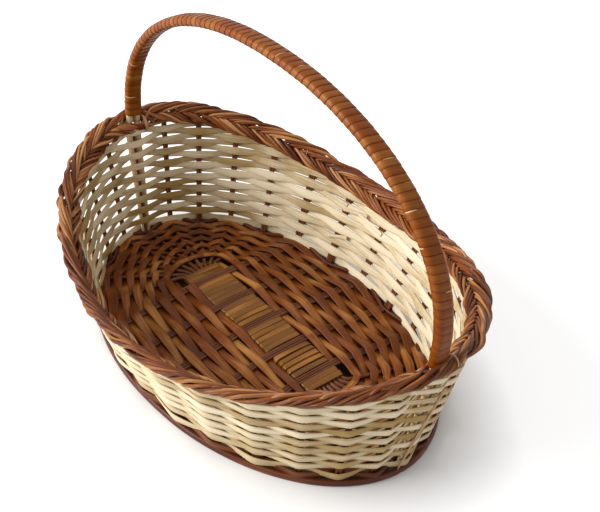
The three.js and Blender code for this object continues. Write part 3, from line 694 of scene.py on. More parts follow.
def cane_finish(name, deep, mid, pale, roughness, coat, fibre=1.0, bump=0.25, edge=0.35, blotch=0.25):
    """A cane's material from a dark, a middle and a pale colour; edge is how dark its flanks go, as painted
    shade where each cane meets the next.
    """
    material = bpy.data.materials.new(name)
    material.use_nodes = True
    tree = material.node_tree
    shader = tree.nodes["Principled BSDF"]
    run, lane, side, tint = [linked(tree, "ShaderNodeAttribute", attribute_name=label).outputs["Fac"]
                             for label in ("run", "lane", "side", "tint")]
    along = math_node(tree, "MULTIPLY", run, FIBRES_ALONG)
    across = math_node(tree, "MULTIPLY", lane, FIBRES_ACROSS * fibre)
    shift = math_node(tree, "MULTIPLY_ADD", side, OTHER_SIDE, tint)
    place = linked(tree, "ShaderNodeCombineXYZ", {"X": along, "Y": across, "Z": shift})
    fibres = linked(tree, "ShaderNodeTexNoise", {"Vector": place.outputs[0], "Scale": 1.0, "Detail": 5.0,
                                                 "Roughness": 0.62}).outputs["Fac"]
    coordinates = tree.nodes.new("ShaderNodeTexCoord")
    patches = linked(tree, "ShaderNodeTexNoise", {"Vector": coordinates.outputs["Object"],
                                                  "Scale": BLOTCH_SCALE, "Detail": 2.0}).outputs["Fac"]
    tone = math_node(tree, "MULTIPLY", tint, TINT_SHARE)
    tone = math_node(tree, "MULTIPLY_ADD", patches, blotch, tone)
    tone = math_node(tree, "MULTIPLY_ADD", fibres, FIBRE_SHARE, tone)
    ramp = linked(tree, "ShaderNodeValToRGB", {"Fac": tone})
    centre = (FIBRE_SHARE + blotch + TINT_SHARE) / 2
    stops = ramp.color_ramp.elements
    stops[0].position, stops[0].color = centre - DARK_REACH, (*deep, 1.0)
    stops[1].position, stops[1].color = centre + PALE_REACH, (*pale, 1.0)
    stops.new(centre).color = (*mid, 1.0)
    # Painted shade: the flanks of each cane are drawn towards its dark colour, where it meets the next cane.
    flank_shade = math_node(tree, "MULTIPLY", math_node(tree, "POWER", lane, 4.0), edge)
    shaded = linked(tree, "ShaderNodeMix", {"Factor": flank_shade, "A": ramp.outputs["Color"], "B": (*deep, 1.0)},
                    data_type="RGBA")
    tree.links.new(shaded.outputs["Result"], shader.inputs["Base Color"])
    gloss = linked(tree, "ShaderNodeMapRange", {"Value": fibres, "From Min": 0.3, "From Max": 0.7,
                                                "To Min": max(roughness - 0.1, 0.05),
                                                "To Max": roughness + 0.12})
    tree.links.new(gloss.outputs[0], shader.inputs["Roughness"])
    relief = linked(tree, "ShaderNodeBump", {"Strength": bump, "Distance": 0.0006, "Height": fibres})
    tree.links.new(relief.outputs[0], shader.inputs["Normal"])
    shader.inputs["Coat Weight"].default_value = coat
    shader.inputs["Coat Roughness"].default_value = 0.22
    shader.inputs["Specular IOR Level"].default_value = 0.12
    return material


def background_rays(tree):
    """1 on the rays that see the white background: those of the camera, of gloss and of transmission."""
    path = tree.nodes.new("ShaderNodeLightPath").outputs
    mirrored = math_node(tree, "MAXIMUM", path["Is Camera Ray"], path["Is Glossy Ray"])
    return math_node(tree, "MAXIMUM", mirrored, path["Is Transmission Ray"])


def sizes_of(context):
    """The scene's sizes of the canes."""
    return context.scene.basket_sizes


def colours_of(context):
    """The scene's colours of the canes."""
    return context.scene.basket_colours


# Floor

def dome(x):
    """Height of the floor's dome at a place along the basket."""
    return FLOOR_EDGE + FLOOR_DOME * (1 - (np.asarray(x, float) / FOOT_A) ** 2)


def stick_height(x):
    """Height of the long sticks, straight from one cross group to the next."""
    bends = np.array([0.0, GROUP_PITCH, 2 * GROUP_PITCH, LADDER_HALF])
    return np.interp(np.abs(x), bends, dome(bends))


def ladder_half_width(sizes):
    """Half the width of the nine long sticks."""
    return STICK_REACH * STICK_PITCH + sizes.long_stick / MM / 2


def floor_rib(index, sizes, foot_swings):
    """Root, tip, radius, half spread and first free place of the rib that runs to a stake."""
    angle = stake_angle(index)
    cane_inside = index % 2 == 0
    room = stake_rods(index, sizes)[1] / 2 + RIB_TIP_ROOM
    if cane_inside:
        room = foot_swings[index] + sizes.foot_thickness / MM / 2 + 2 * CLEARANCE
    tip = wall_line(angle, FLOOR_EDGE) - outward(angle, FOOT_A, FOOT_B) * room
    if is_side(index):
        far = 1 if math.sin(angle) > 0 else -1
        x = GROUP_PITCH * (QUARTER - index if far > 0 else index - 3 * QUARTER)
        y = far * (ladder_half_width(sizes) + sizes.wrap_thickness / MM + 2 * CLEARANCE)
        root = np.array([x, y, stick_height(x) + CROSS_LIFT])
        rod = sizes.side_rod / MM
        return root, tip, rod / 2, rod * ROD_PITCH, FLOOR_CANE / 2 + 2 * CLEARANCE
    right = math.cos(angle) > 0
    number = (index - STAKES if index > HALF else index) if right else HALF - index
    x = LADDER_HALF if right else -LADDER_HALF
    root = np.array([x, number * STICK_PITCH, stick_height(x)])
    return root, tip, sizes.long_stick / MM / 2, 0.0, FLOOR_CANE / 2 + END_RIB_ROOM


def floor_ribs(sizes):
    """The rib that runs to each stake, in the order of the stakes."""
    swings = stake_swings(sizes, sizes.foot_thickness / MM, sizes.foot_height / MM, FOOT_TOP, True)
    return [floor_rib(index, sizes, swings) for index in range(STAKES)]


def polyline(corners, spacing):
    """Points every few millimetres along straight stretches, corners kept."""
    corners = np.asarray(corners, float)
    points = [corners[:1]]
    for a, b in zip(corners[:-1], corners[1:]):
        count = max(int(np.linalg.norm(b - a) / spacing), 1)
        points.append(a + (b - a) * np.linspace(0, 1, count + 1)[1:, None])
    return np.concatenate(points)


def eased(points, rounds=2):
    """Corners of a line softened, its ends kept."""
    for _ in range(rounds):
        inner = (points[:-2] + 2 * points[1:-1] + points[2:]) / 4
        points = np.concatenate([points[:1], inner, points[-1:]])
    return points


class BASKET_OT_floor_sticks(bpy.types.Operator):
    """Long sticks of the ladder and the cross groups that lie on them"""
    bl_idname = "basket.floor_sticks"
    bl_label = "Floor Sticks"

    def execute(self, context):
        sizes, colours = sizes_of(context), colours_of(context)
        rng = np.random.RandomState(11)
        ribs = floor_ribs(sizes)
        worn = mixed_colour(colours.stake, colours.stake_light, 0.5)
        finish = cane_finish("Dark stick", colours.stake, worn, colours.stake_light,
                             roughness=0.45, coat=0.25, bump=0.3)
        self.long_sticks(sizes.long_stick / MM, ribs, finish, rng)
        self.cross_groups(sizes.side_rod / MM, ribs, finish, rng)
        return {"FINISHED"}

    def long_sticks(self, rod, ribs, finish, rng):
        """Nine sticks along the ladder that run on as the ribs of both ends."""
        lines = CaneLines()
        for number in range(-STICK_REACH, STICK_REACH + 1):
            right, left = ribs[number % STAKES], ribs[(HALF - number) % STAKES]
            middle = [np.array([x, number * STICK_PITCH, float(stick_height(x))])
                      for x in GROUP_PITCH * np.arange(SIDE_REACH, -SIDE_REACH - 1, -1.0)]
            line = eased(polyline([right[1], right[0], *middle, left[0], left[1]], STICK_STEP))
            swell = 1 + wander(rng, len(line), every=18, by=0.06)
            lines.add(line, np.broadcast_to(UP, line.shape), swell, tint=rng.uniform(0.25, 0.6))
        sweep("long_sticks", lines, finish, rod, rod, ["floor_sticks"], ROUND_ROD, steps=3)

    def cross_groups(self, rod, ribs, finish, rng):
        """Five groups of three rods over the long sticks that run on as the ribs of both sides."""
        lines = CaneLines()
        for group in range(-SIDE_REACH, SIDE_REACH + 1):
            far, near = ribs[(QUARTER - group) % STAKES], ribs[(3 * QUARTER + group) % STAKES]
            for place in (-1, 0, 1):
                offset = place * rod * CROSS_PITCH
                corners = []
                for turn, (root, tip, *_) in ((1, far), (-1, near)):
                    level = (tip - root) * np.array([1.0, 1.0, 0.0])
                    aside = np.cross(unit(level), UP) * offset * turn
                    pair = [tip + aside, root + np.array([offset, 0.0, 0.0])]
                    corners += pair[::turn]
                line = eased(polyline(corners, STICK_STEP), rounds=3)
                line = line + UP * wander(rng, len(line), every=12, by=0.15)[:, None]
                swell = 1 + wander(rng, len(line), every=14, by=0.05)
                lines.add(line, np.broadcast_to(UP, line.shape), swell, tint=rng.uniform(0.2, 0.75))
        sweep("cross_sticks", lines, finish, rod, rod, ["floor_sticks"], ROUND_ROD, steps=3)


def weaver_line(number, ribs, per_rib=10):
    """Path of one of the two canes that chase each other round the floor, two rows further out each round.

    Returns its points, its upward side, the count of ribs passed and the distance of the ribs there.
    """
    first = (QUARTER if number == 0 else 3 * QUARTER) - SIDE_REACH
    count = (FLOOR_ROWS - 1) // 2 * STAKES
    indices = [(first + step) % STAKES for step in range(count + 1)]
    spans = [step < STAKES and not is_side(index) for step, index in enumerate(indices)]
    places = []
    for step, index in enumerate(indices):
        root, tip, _, _, start = ribs[index]
        size = np.linalg.norm(tip - root)
        beyond = FLOOR_REACH_SIDE if is_side(index) else FLOOR_REACH_END
        last = FLOOR_CANE / 2 + 3 * CLEARANCE - beyond
        distance = start + (size - start - last) * (2 * step / STAKES) / (FLOOR_ROWS - 1)
        places.append(root + (tip - root) * distance / size)
    places = np.array(places)
    gaps = np.linalg.norm(np.diff(places, axis=0), axis=1)
    gaps = np.append(gaps, gaps[-1])
    posts = []
    for index, spanning, gap in zip(indices, spans, gaps):
        _, _, radius, reach, _ = ribs[index]
        need = 0.0 if spanning else radius + CLEARANCE + FLOOR_CANE_THICK / 2
        posts.append((need, reach, 0.0, float(gap)))
    swings = clear_swings(posts, False)
    lifts, upward = [], []
    for step, index in enumerate(indices):
        root, tip, radius, _, _ = ribs[index]
        along = unit(places[min(step + 1, count)] - places[max(step - 1, 0)])
        upward.append(unit(np.cross(tip - root, along)))
        over = number == 1 if spans[step] else (index + number) % 2 == 0
        swing = (radius + CLEARANCE + FLOOR_CANE_THICK / 2) * SPAN_ROOM if spans[step] else swings[step]
        lifts.append(swing if over else -swing)
    lifts, upward = np.array(lifts), np.array(upward)
    u = np.linspace(0, count, count * per_rib + 1)
    low = np.minimum(u.astype(int), count - 1)
    t = u - low
    lift = lerp(lifts[low], lifts[low + 1], (1 - bend(t, softness=0.93)) / 2)
    up = unit(lerp(upward[low], upward[low + 1], t))
    base = lerp(places[low], places[low + 1], t)
    return base + up * lift[:, None], up, u, np.interp(u, np.arange(count + 1), gaps)


class BASKET_OT_floor_weavers(bpy.types.Operator):
    """Flattened canes woven round the ladder"""
    bl_idname = "basket.floor_weavers"
    bl_label = "Floor Weavers"

    def execute(self, context):
        sizes, colours = sizes_of(context), colours_of(context)
        ribs = floor_ribs(sizes)
        width, thickness = sizes.floor_width / MM, sizes.floor_thickness / MM
        finish = cane_finish("Floor cane", mixed_colour(colours.floor, FLOOR_STAIN_AND_SHADE, 0.55), colours.floor,
                             colours.floor_light, roughness=0.38, coat=0.25, bump=0.4, edge=1.0, blotch=0.45)
        for number, name in enumerate(("floor_weaver_a", "floor_weaver_b")):
            rng = np.random.RandomState(21 + number)
            line, up, u, rib_gap = weaver_line(number, ribs)
            size = len(line)
            wide = np.clip((rib_gap - RIBS_CLOSE) / (RIBS_APART - RIBS_CLOSE), 0.0, 1.0)
            last_row = np.clip((u - u[-1] + STAKES) / LAST_ROW_RAMP, 0.0, 1.0)
            swell = FLOOR_SWELL + FLOOR_SWELL_WIDE * wide
            swell = swell + (RIB_SWELL + RIB_SWELL_WIDE * wide) * np.cos(np.pi * u) ** 2
            swell = swell + wander(rng, size, every=22, by=0.09) + LAST_ROW_SWELL * last_row
            tint = 0.42 + wander(rng, size, every=60, by=0.3) + wander(rng, size, every=9, by=0.3)
            golden = rng.uniform(size=int(u[-1]) + 2)[u.astype(int)] > 1 - GOLDEN_SHARE
            tint = tint + np.where(golden & (u < STAKES * GOLDEN_ROUNDS), GOLDEN_TINT, 0.0)
            faces = rolled(up, line, wander(rng, size, every=25, by=0.14))
            lines = CaneLines()
            lines.add(line + up * wander(rng, size, every=30, by=0.12)[:, None], faces, swell, tint)
            sweep(name + "_cane", lines, finish, width, thickness, [name], FLAT_CANE, steps=3)
        return {"FINISHED"}


def rounded_box(share, half_y, half_z, corner):
    """Points and outward directions round a rounded rectangle, from a share of its way round."""
    flat_y, flat_z = half_y - corner, half_z - corner
    arc = math.pi / 2 * corner
    place = (np.asarray(share) % 1.0) * 4 * (flat_y + flat_z + arc)
    centres = np.array([(flat_y, flat_z), (-flat_y, flat_z), (-flat_y, -flat_z), (flat_y, -flat_z)])
    y, z, out_y, out_z = np.zeros((4, len(place)))
    start = 0.0
    for quarter in range(4):
        before, after = centres[quarter - 1], centres[quarter]
        for span, moves, turns in ((math.dist(before, after), 1.0, 0.0), (arc, 0.0, 1.0)):
            here = (place >= start) & (place <= start + span + 1e-9)
            t = (place[here] - start) / max(span, 1e-9)
            angle = (quarter + turns * t) * math.pi / 2
            centre = after + (before - after) * moves * (1 - t)[:, None]
            out_y[here], out_z[here] = np.cos(angle), np.sin(angle)
            y[here] = centre[:, 0] + corner * np.cos(angle)
            z[here] = centre[:, 1] + corner * np.sin(angle)
            start += span
    return y, z, out_y, out_z


class BASKET_OT_ladder_wraps(bpy.types.Operator):
    """Glossy flat cane wound round the long sticks between the cross groups"""
    bl_idname = "basket.ladder_wraps"
    bl_label = "Ladder Wraps"

    def execute(self, context):
        sizes, colours = sizes_of(context), colours_of(context)
        finish = cane_finish("Ladder wrap", mixed_colour(colours.wrap, WRAP_STAIN_AND_SHADE, 0.5), colours.wrap,
                             mixed_colour(colours.wrap, colours.floor_light, 0.6), roughness=0.27, coat=0.3,
                             fibre=0.6, bump=0.15, edge=0.95)
        wraps = [(f"ladder_wrap_{number}", WRAP_TURNS, WRAP_OVERHANG) for number in (1, 2, 3, 4)]
        wraps += [(f"ladder_wrap_{end}", END_WRAP_TURNS, END_WRAP_OVERHANG) for end in ("left", "right")]
        for seed, (name, turns, overhang) in enumerate(wraps, 31):
            self.wind(name, turns, overhang, sizes, finish, np.random.RandomState(seed))
        return {"FINISHED"}

    def wind(self, name, turns, overhang, sizes, finish, rng):
        """One cane that lies square over the sticks and moves on to its next turn below them."""
        width, thickness = sizes.wrap_width / MM, sizes.wrap_thickness / MM
        low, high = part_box(name)
        start, end = low[0] / MM - overhang, high[0] / MM + overhang
        pitch = (end - start - width) / (turns - 1)
        half_y = ladder_half_width(sizes) + CLEARANCE + thickness / 2
        half_z = sizes.long_stick / MM / 2 + CLEARANCE + thickness / 2
        per_turn = 64
        share = np.linspace(WRAP_START, turns + WRAP_STOP, turns * per_turn)
        size = len(share)
        y, z, out_y, out_z = rounded_box(share, half_y, half_z, WRAP_CORNER)
        in_turn = (share - OVER_FROM) % 1.0 + OVER_FROM
        below = np.clip((in_turn - OVER_TO) / (1 + OVER_FROM - OVER_TO), 0.0, 1.0)
        turn = np.floor(share - OVER_FROM) - 1.0 + below * below * (3 - 2 * below)
        x = start + width / 2 + np.clip(turn, 0.0, turns - 1.0) * pitch + wander(rng, size, every=24, by=0.3)
        crown = np.where(z > 0, WRAP_CROWN * (1 - (y / half_y) ** 2), 0.0)
        points = columns(x, y, z + stick_height(x) + crown)
        swell = 1 + wander(rng, size, every=20, by=0.05)
        faces = rolled(unit(columns(0.0, out_y, out_z)), points, wander(rng, size, every=40, by=0.2))
        lines = CaneLines()
        lines.add(points, faces, swell, tint=0.45 + wander(rng, size, every=30, by=0.5))
        sweep(name + "_cane", lines, finish, width, thickness, [name], FLAT_CANE, steps=3)


# Foot, stakes and wall

def woven_row(swings, height_at, first, last, parity, per_stake, rng, level=False, droop=0.4, roll=0.06):
    """A cane that runs in and out of the stakes between two stake numbers, at a height for each angle."""
    closed = last - first == STAKES
    count = (last - first) * per_stake
    u = np.linspace(first, last, count + (0 if closed else 1), endpoint=not closed)
    angle = stake_angle(u)
    low = np.floor(u + 1e-9).astype(int)
    t = u - low
    offsets = np.array([swings[stake % STAKES] * (1 if (stake + parity) % 2 == 0 else -1)
                        for stake in range(first, last + 2)])
    swing = lerp(offsets[low - first], offsets[low - first + 1], (1 - bend(t)) / 2)
    drops = rng.uniform(-droop, droop, STAKES + 1)
    drop = lerp(drops[low % STAKES], drops[(low + 1) % STAKES], t)

    def at_stake(index):
        return wall_line(stake_angle(index), height_at(stake_angle(index)))

    chord = lerp(at_stake(low.astype(float)), at_stake(low + 1.0), t)
    points = wall_line(angle, height_at(angle) + drop)
    points[:, :2] = chord[:, :2] * CHORD_SHARE + points[:, :2] * (1 - CHORD_SHARE)
    out = outward(angle, FOOT_A, FOOT_B)
    points = points + out * swing[:, None]
    faces = facing(points, out if level else wall_frame(angle)[2], closed)
    turn = wander(rng, len(u), every=per_stake * 1.3, by=roll, closed=closed)
    return points, rolled(faces, points, turn, closed), u, closed


class BASKET_OT_foot(bpy.types.Operator):
    """Dark smooth hoop round the bottom of the stakes and a dark cane woven above it"""
    bl_idname = "basket.foot"
    bl_label = "Foot"

    def execute(self, context):
        sizes, colours = sizes_of(context), colours_of(context)
        finish = cane_finish("Foot cane", mixed_colour(colours.foot, FOOT_STAIN_AND_SHADE, 0.5), colours.foot,
                             mixed_colour(colours.foot, colours.rim_light, 0.45), roughness=0.45, coat=0.25,
                             bump=0.35)
        rng = np.random.RandomState(51)
        self.hoop(sizes, finish, rng)
        self.woven_cane(sizes, finish, rng)
        return {"FINISHED"}

    def hoop(self, sizes, finish, rng):
        """The smooth rod that lies on the ground outside the stakes."""
        posts = stake_posts(sizes, HOOP_THICKNESS, HOOP_HEIGHT, HOOP_HEIGHT, True)
        offset = max(need + reach * bulge / gap for need, reach, bulge, gap in posts)
        angle = np.linspace(0, 2 * np.pi, STAKES * 8, endpoint=False)
        size = len(angle)
        out = outward(angle, FOOT_A, FOOT_B)
        line = wall_line(angle, np.full(size, HOOP_HEIGHT / 2)) + out * offset
        line = line + out * wander(rng, size, every=9, by=0.35, closed=True)[:, None]
        lines = CaneLines()
        tint = 0.4 + wander(rng, size, every=14, by=0.35, closed=True)
        lines.add(line, out, HOOP_SWELL, tint, closed=True)
        sweep("foot_hoop_rod", lines, finish, HOOP_HEIGHT, HOOP_THICKNESS, ["foot_hoop"],
              HOOP_CORNER, steps=4)

    def woven_cane(self, sizes, finish, rng):
        """The dark cane above the hoop, wider between the stakes than at them."""
        height, thickness = sizes.foot_height / MM, sizes.foot_thickness / MM
        swings = stake_swings(sizes, thickness, height, FOOT_TOP, True)
        middle = HOOP_HEIGHT + CLEARANCE + height / 2
        points, faces, u, closed = woven_row(swings, lambda angle: np.full(np.shape(angle), middle),
                                             0, STAKES, parity=1, per_stake=10, rng=rng, level=True,
                                             droop=0.0, roll=0.02)
        points = points - columns(0.0, 0.0, FOOT_DIP * (0.5 + 0.5 * np.cos(np.pi * u)))
        swell = FOOT_SWELL + FOOT_SWELL_BETWEEN * np.sin(np.pi * u) ** 2
        lines = CaneLines()
        tint = 0.4 + wander(rng, len(u), every=30, by=0.35, closed=True)
        lines.add(points, faces, swell, tint, closed)
        sweep("foot_cane_woven", lines, finish, height, thickness, ["foot_cane"],
              FLAT_STRIP, steps=3)


class BASKET_OT_stakes(bpy.types.Operator):
    """Dark upright rods that carry the wall"""
    bl_idname = "basket.stakes"
    bl_label = "Stakes"

    def execute(self, context):
        sizes, colours = sizes_of(context), colours_of(context)
        rng = np.random.RandomState(61)
        worn = mixed_colour(colours.stake, colours.stake_light, 0.45)
        finish = cane_finish("Dark stake", colours.stake, worn, colours.stake_light,
                             roughness=0.5, coat=0.15, bump=0.3)
        for label, wanted in (("end", False), ("side", True)):
            indices = [index for index in range(STAKES) if is_side(index) == wanted]
            rod = stake_rods(indices[-1], sizes)[1]
            lines = CaneLines()
            for index in indices:
                self.stake(lines, index, sizes, rng)
            names = [f"stake_{index + 1:02d}" for index in indices]
            sweep(f"{label}_stakes", lines, finish, rod, rod, names, ROUND_ROD, steps=3)
        return {"FINISHED"}

    def stake(self, lines, index, sizes, rng):
        """The rods of one stake, side by side from the ground to the plait."""
        count, rod = stake_rods(index, sizes)
        angle = stake_angle(index)
        _, side, out = wall_frame(angle)
        foot, top = wall_foot(angle), wall_top(angle)
        steps = 24
        for place in range(count):
            offset = (place - (count - 1) / 2) * rod * ROD_PITCH
            line = foot + (top - foot) * np.linspace(0, 1, steps)[:, None] + side * offset
            line = line + side * wander(rng, steps, every=8, by=0.12)[:, None]
            swell = 1 + wander(rng, steps, every=8, by=0.05)
            lines.add(line, np.broadcast_to(out, line.shape), swell, tint=rng.uniform(0.15, 0.7))


class BASKET_OT_wall(bpy.types.Operator):
    """Pale flat strips woven in and out of the stakes, with short strips in the rising ends"""
    bl_idname = "basket.wall"
    bl_label = "Wall"

    def execute(self, context):
        sizes, colours = sizes_of(context), colours_of(context)
        width, thickness = sizes.strip_width / MM, sizes.strip_thickness / MM
        finish = cane_finish("Pale strip", colours.strip_streak_and_shade, colours.strip,
                             mixed_colour(colours.strip, BLEACHED_STRIP, 0.6), roughness=0.62, coat=0.05,
                             fibre=2.2, bump=0.3, edge=0.4, blotch=0.3)
        end_rows = rows_that_fit(0.0, sizes) + 1
        swings = [stake_swings(sizes, thickness, width, float(row_height(row, 0.0, sizes)) + width / 2, False)
                  for row in range(end_rows)]
        for row in range(FULL_ROWS):
            lines = CaneLines()
            self.strip(lines, sizes, swings[row], row, 0, STAKES, np.random.RandomState(100 + row))
            sweep(f"wall_row_{row + 1:02d}", lines, finish, width, thickness,
                  [f"wall_strip_{row + 1:02d}"], FLAT_STRIP, steps=2)
        for label, middle in (("right", 0), ("left", HALF)):
            lines = CaneLines()
            for row in range(FULL_ROWS, end_rows):
                fits = [stake for stake in range(-QUARTER, QUARTER + 1)
                        if rows_that_fit(float(stake_angle(stake)), sizes) > row - ROWS_UNDER_RIM]
                self.strip(lines, sizes, swings[row], row, middle + fits[0], middle + fits[-1],
                           np.random.RandomState(130 + row + middle))
            sweep(f"short_rows_{label}", lines, finish, width, thickness,
                  [f"turned_back_strip_{label}"], FLAT_STRIP, steps=2)
        self.loose_ends(swings[0], width, thickness, finish, np.random.RandomState(160))
        return {"FINISHED"}

    def strip(self, lines, sizes, swings, row, first, last, rng):
        """One row of strip, widest where it passes a stake."""
        per_stake = 12
        points, faces, u, closed = woven_row(swings, lambda angle: row_height(row, angle, sizes), first, last,
                                             row, per_stake, rng)
        angle, size = stake_angle(u), len(u)
        near, far = np.clip(-np.sin(angle), 0.0, 1.0), np.clip(np.sin(angle), 0.0, 1.0)
        at_stake = STAKE_SWELL + STAKE_SWELL_NEAR * near + STAKE_SWELL_FAR * far
        swell = STRIP_SWELL + STRIP_SWELL_SIDE * (near + far) + at_stake * np.cos(np.pi * u) ** 2
        swell = swell + wander(rng, size, every=per_stake, by=0.06, closed=closed)
        if row == 0:
            outside = 0.5 + 0.5 * np.cos(np.pi * u)
            points = points - columns(0.0, 0.0, FIRST_ROW_DROP * (1 + outside))
            swell = swell + FIRST_ROW_SWELL
        tint = rng.uniform(0.3, 0.6) + wander(rng, size, every=per_stake * 2.2, by=0.34, closed=closed)
        # Painted shade: each strip is drawn darker towards both ends of the oval, where the end walls lie in
        # shade.
        lines.add(points, faces, swell, tint + 0.05 - END_PAINTED_SHADE * np.cos(angle) ** 2, closed)

    def loose_ends(self, swings, width, thickness, finish, rng):
        """Cut ends of strips that stick out inside the far wall."""
        lines = CaneLines()
        for place, height, slope, size in LOOSE_ENDS:
            along = np.linspace(0.0, 1.0, 9)
            angle = stake_angle(place) + along * size / FOOT_A
            out = wall_frame(angle)[2]
            inside = swings[int(place) % STAKES] + thickness + LOOSE_ROOM + LOOSE_CURL * along ** 2
            line = wall_line(angle, height + slope * along) - out * inside[:, None]
            faces = rolled(facing(line, out), line, LOOSE_TWIST * along)
            lines.add(line, faces, swell=0.75 - 0.3 * along, tint=rng.uniform(0.2, 0.6))
        sweep("loose_strip_ends", lines, finish, width, thickness * LOOSE_THIN, None,
              SPLIT_END, steps=2)


# Rim

def plait_phase(angle, strand, trail):
    """Where a rod is in its plait cycle, which takes as many stakes as there are strands."""
    return (strand - trail + angle * STAKES / (2 * np.pi)) * 2 * np.pi / STRANDS


def plait_turn(phase):
    """Turn of a rod in its plait cycle, 0 at the outer edge: it takes longest from there to the middle."""
    share = np.linspace(0.0, 1.0, RHYTHM_STEPS + 1)
    turn = np.interp(share, np.cumsum([0.0, *PLAIT_RHYTHM]), np.arange(5) / 4)
    steady = turn - share
    padded = np.concatenate([steady[-RHYTHM_BLUR - 1:-1], steady, steady[1:RHYTHM_BLUR + 1]])
    window = 2 * RHYTHM_BLUR + 1
    smooth = np.convolve(padded, np.ones(window) / window, mode="valid") + share
    place = (phase / (2 * np.pi)) % 1.0
    return 2 * np.pi * np.interp(place, share, smooth)


def plait_sides(turn):
    """Shares of a rod's sideways swing and of its rise, over the others while it runs from an edge inward."""
    wave = np.arcsin(PLAIT_SOFTNESS * np.cos(turn)) / math.asin(PLAIT_SOFTNESS)
    quarter = (turn / (np.pi / 2)) % 1.0
    inward = np.sin(2 * turn) > 0
    from_edge = np.where(inward, quarter, 1 - quarter)
    rise = np.sin(np.pi / 2 * np.minimum(from_edge / RISE_SHARE, 1.0)) * np.tanh((1 - from_edge) / DIVE_SHARE)
    return wave - INWARD_SHIFT * (1 - wave ** 2), np.where(inward, rise, -rise)


def leg_clear(across, level, angle, legs, sizes):
    """Keeps a rod clear of the two upright handle rods that pass through the plait at each leg."""
    handle_radius = sizes.handle_rod / MM / 2
    reach = (handle_radius + CLEARANCE + sizes.rim_rod / MM / 2) / math.cos(RIM_TILT)
    middle = (LEG_X - RIM_A) / math.cos(RIM_TILT) + math.tan(RIM_TILT) * level
    for leg, outside in legs:
        distance = np.abs((angle - leg) * RIM_B)
        fall = np.maximum(distance - ROD_SPREAD - handle_radius - LEG_ROOM, 0.0) * LEG_FALL
        side = 1.0 if outside else -1.0
        limit = side * middle + reach - fall
        beyond = side * across - limit
        across = side * (limit + (beyond + np.sqrt(beyond ** 2 + LEG_ROUNDING)) / 2)
    return across


class BASKET_OT_rim(bpy.types.Operator):
    """Plait of three strands, each of several thin rods that trail one another"""
    bl_idname = "basket.rim"
    bl_label = "Rim"

    def execute(self, context):
        sizes, colours = sizes_of(context), colours_of(context)
        finish = cane_finish("Rim rod", mixed_colour(colours.rim, RIM_STAIN_AND_SHADE, 0.7), colours.rim,
                             colours.rim_light, roughness=0.42, coat=0.2, bump=0.35, edge=0.7, blotch=0.4)
        rod = sizes.rim_rod / MM
        per_stake = 20
        size = STAKES * per_stake + 1
        angle = np.pi / 2 + np.linspace(0, 2 * np.pi, size)
        calm = np.clip(np.minimum(np.arange(size), np.arange(size)[::-1]) / per_stake, 0.0, 1.0)
        for strand in range(STRANDS):
            rng = np.random.RandomState(200 + strand)
            sway = wander(rng, size, every=per_stake * 1.4, by=0.36)
            lines = CaneLines()
            for place in range(sizes.rim_rods):
                apart = place - (sizes.rim_rods - 1) / 2
                self.rod(lines, strand, apart, angle, sway, calm, per_stake, sizes, rng)
            sweep(f"rim_strand_{strand + 1}_rods", lines, finish, rod, rod,
                  [f"rim_strand_{strand + 1}"], ROUND_ROD, steps=2)
        return {"FINISHED"}

    def rod(self, lines, strand, apart, angle, sway, calm, per_stake, sizes, rng):
        """One thin rod of a strand, once round the rim; it is calm where its two ends meet."""
        size = len(angle)
        trail = apart * sizes.rim_rod_shift + (ROD_SPLIT if apart > 0 else -ROD_SPLIT)
        stray = wander(rng, size, every=per_stake * 1.5, by=0.8) * calm
        phase = plait_phase(angle, strand, trail) + sway * calm - stray * RIM_STRAY
        wave, rise = plait_sides(plait_turn(phase))
        short = ROD_SHORT + wander(rng, size, every=per_stake * 1.7, by=ROD_SHORT)
        swing = (PLAIT_HALF - sizes.rim_rod / MM / 2) * (1 - short * calm)
        depth = PLAIT_RISE + UNDER_BULGE * np.maximum(wave, 0.0) * (rise < 0)
        level = depth * rise + wander(rng, size, every=per_stake, by=0.4) * calm
        level = level - (apart + stray) * EDGE_FAN * wave ** 3
        legs = [(leg, float(plait_sides(plait_turn(plait_phase(leg, strand, trail)))[0]) > 0)
                for leg in (np.pi, 2 * np.pi)]
        aside = leg_clear(wave * swing, level, angle, legs, sizes)
        _, across, through = rim_frame(angle)
        line = rim_point(angle) + across * aside[:, None] + through * level[:, None]
        swell = 1 + wander(rng, size, every=per_stake * 2, by=0.12) * calm
        golden = np.clip(wander(rng, size, every=per_stake * 2.5, by=1.6) - 0.9, 0.0, 0.6) * calm
        shift = rng.uniform(-0.4, 0.4) + wander(rng, size, every=per_stake * 1.6, by=0.6)
        lines.add(line, through, swell, tint=golden + 0.45 + shift * calm)


# Handle

def bow_line(steps=160):
    """Middle line of the bow, from the wrap's foot on one leg over the arch to the other leg."""
    angle = np.linspace(0, np.pi / 2, steps)
    x = LEG_X * np.cos(angle).clip(0) ** BOW_POWER
    z = LEG_TOP + (BOW_TOP - LEG_TOP) * np.sin(angle) ** BOW_POWER
    half = np.concatenate([[[LEG_X, WRAP_FOOT]], np.stack([x, z], axis=1)])
    whole = np.concatenate([half, (half * [-1, 1])[-2::-1]])
    return columns(whole[:, 0], 0.0, whole[:, 1])


def run_along(points):
    """Distance of each point from the line's start."""
    return np.concatenate([[0], np.cumsum(np.linalg.norm(np.diff(points, axis=0), axis=1))])


def at_distance(place, run, values):
    """Values of a line's points read at given distances along it."""
    return np.stack([np.interp(place, run, values[:, axis]) for axis in range(3)], axis=1)


def even(points, spacing):
    """A line's points set evenly along it."""
    run = run_along(points)
    return at_distance(np.linspace(0, run[-1], max(int(run[-1] / spacing), 2) + 1), run, points)


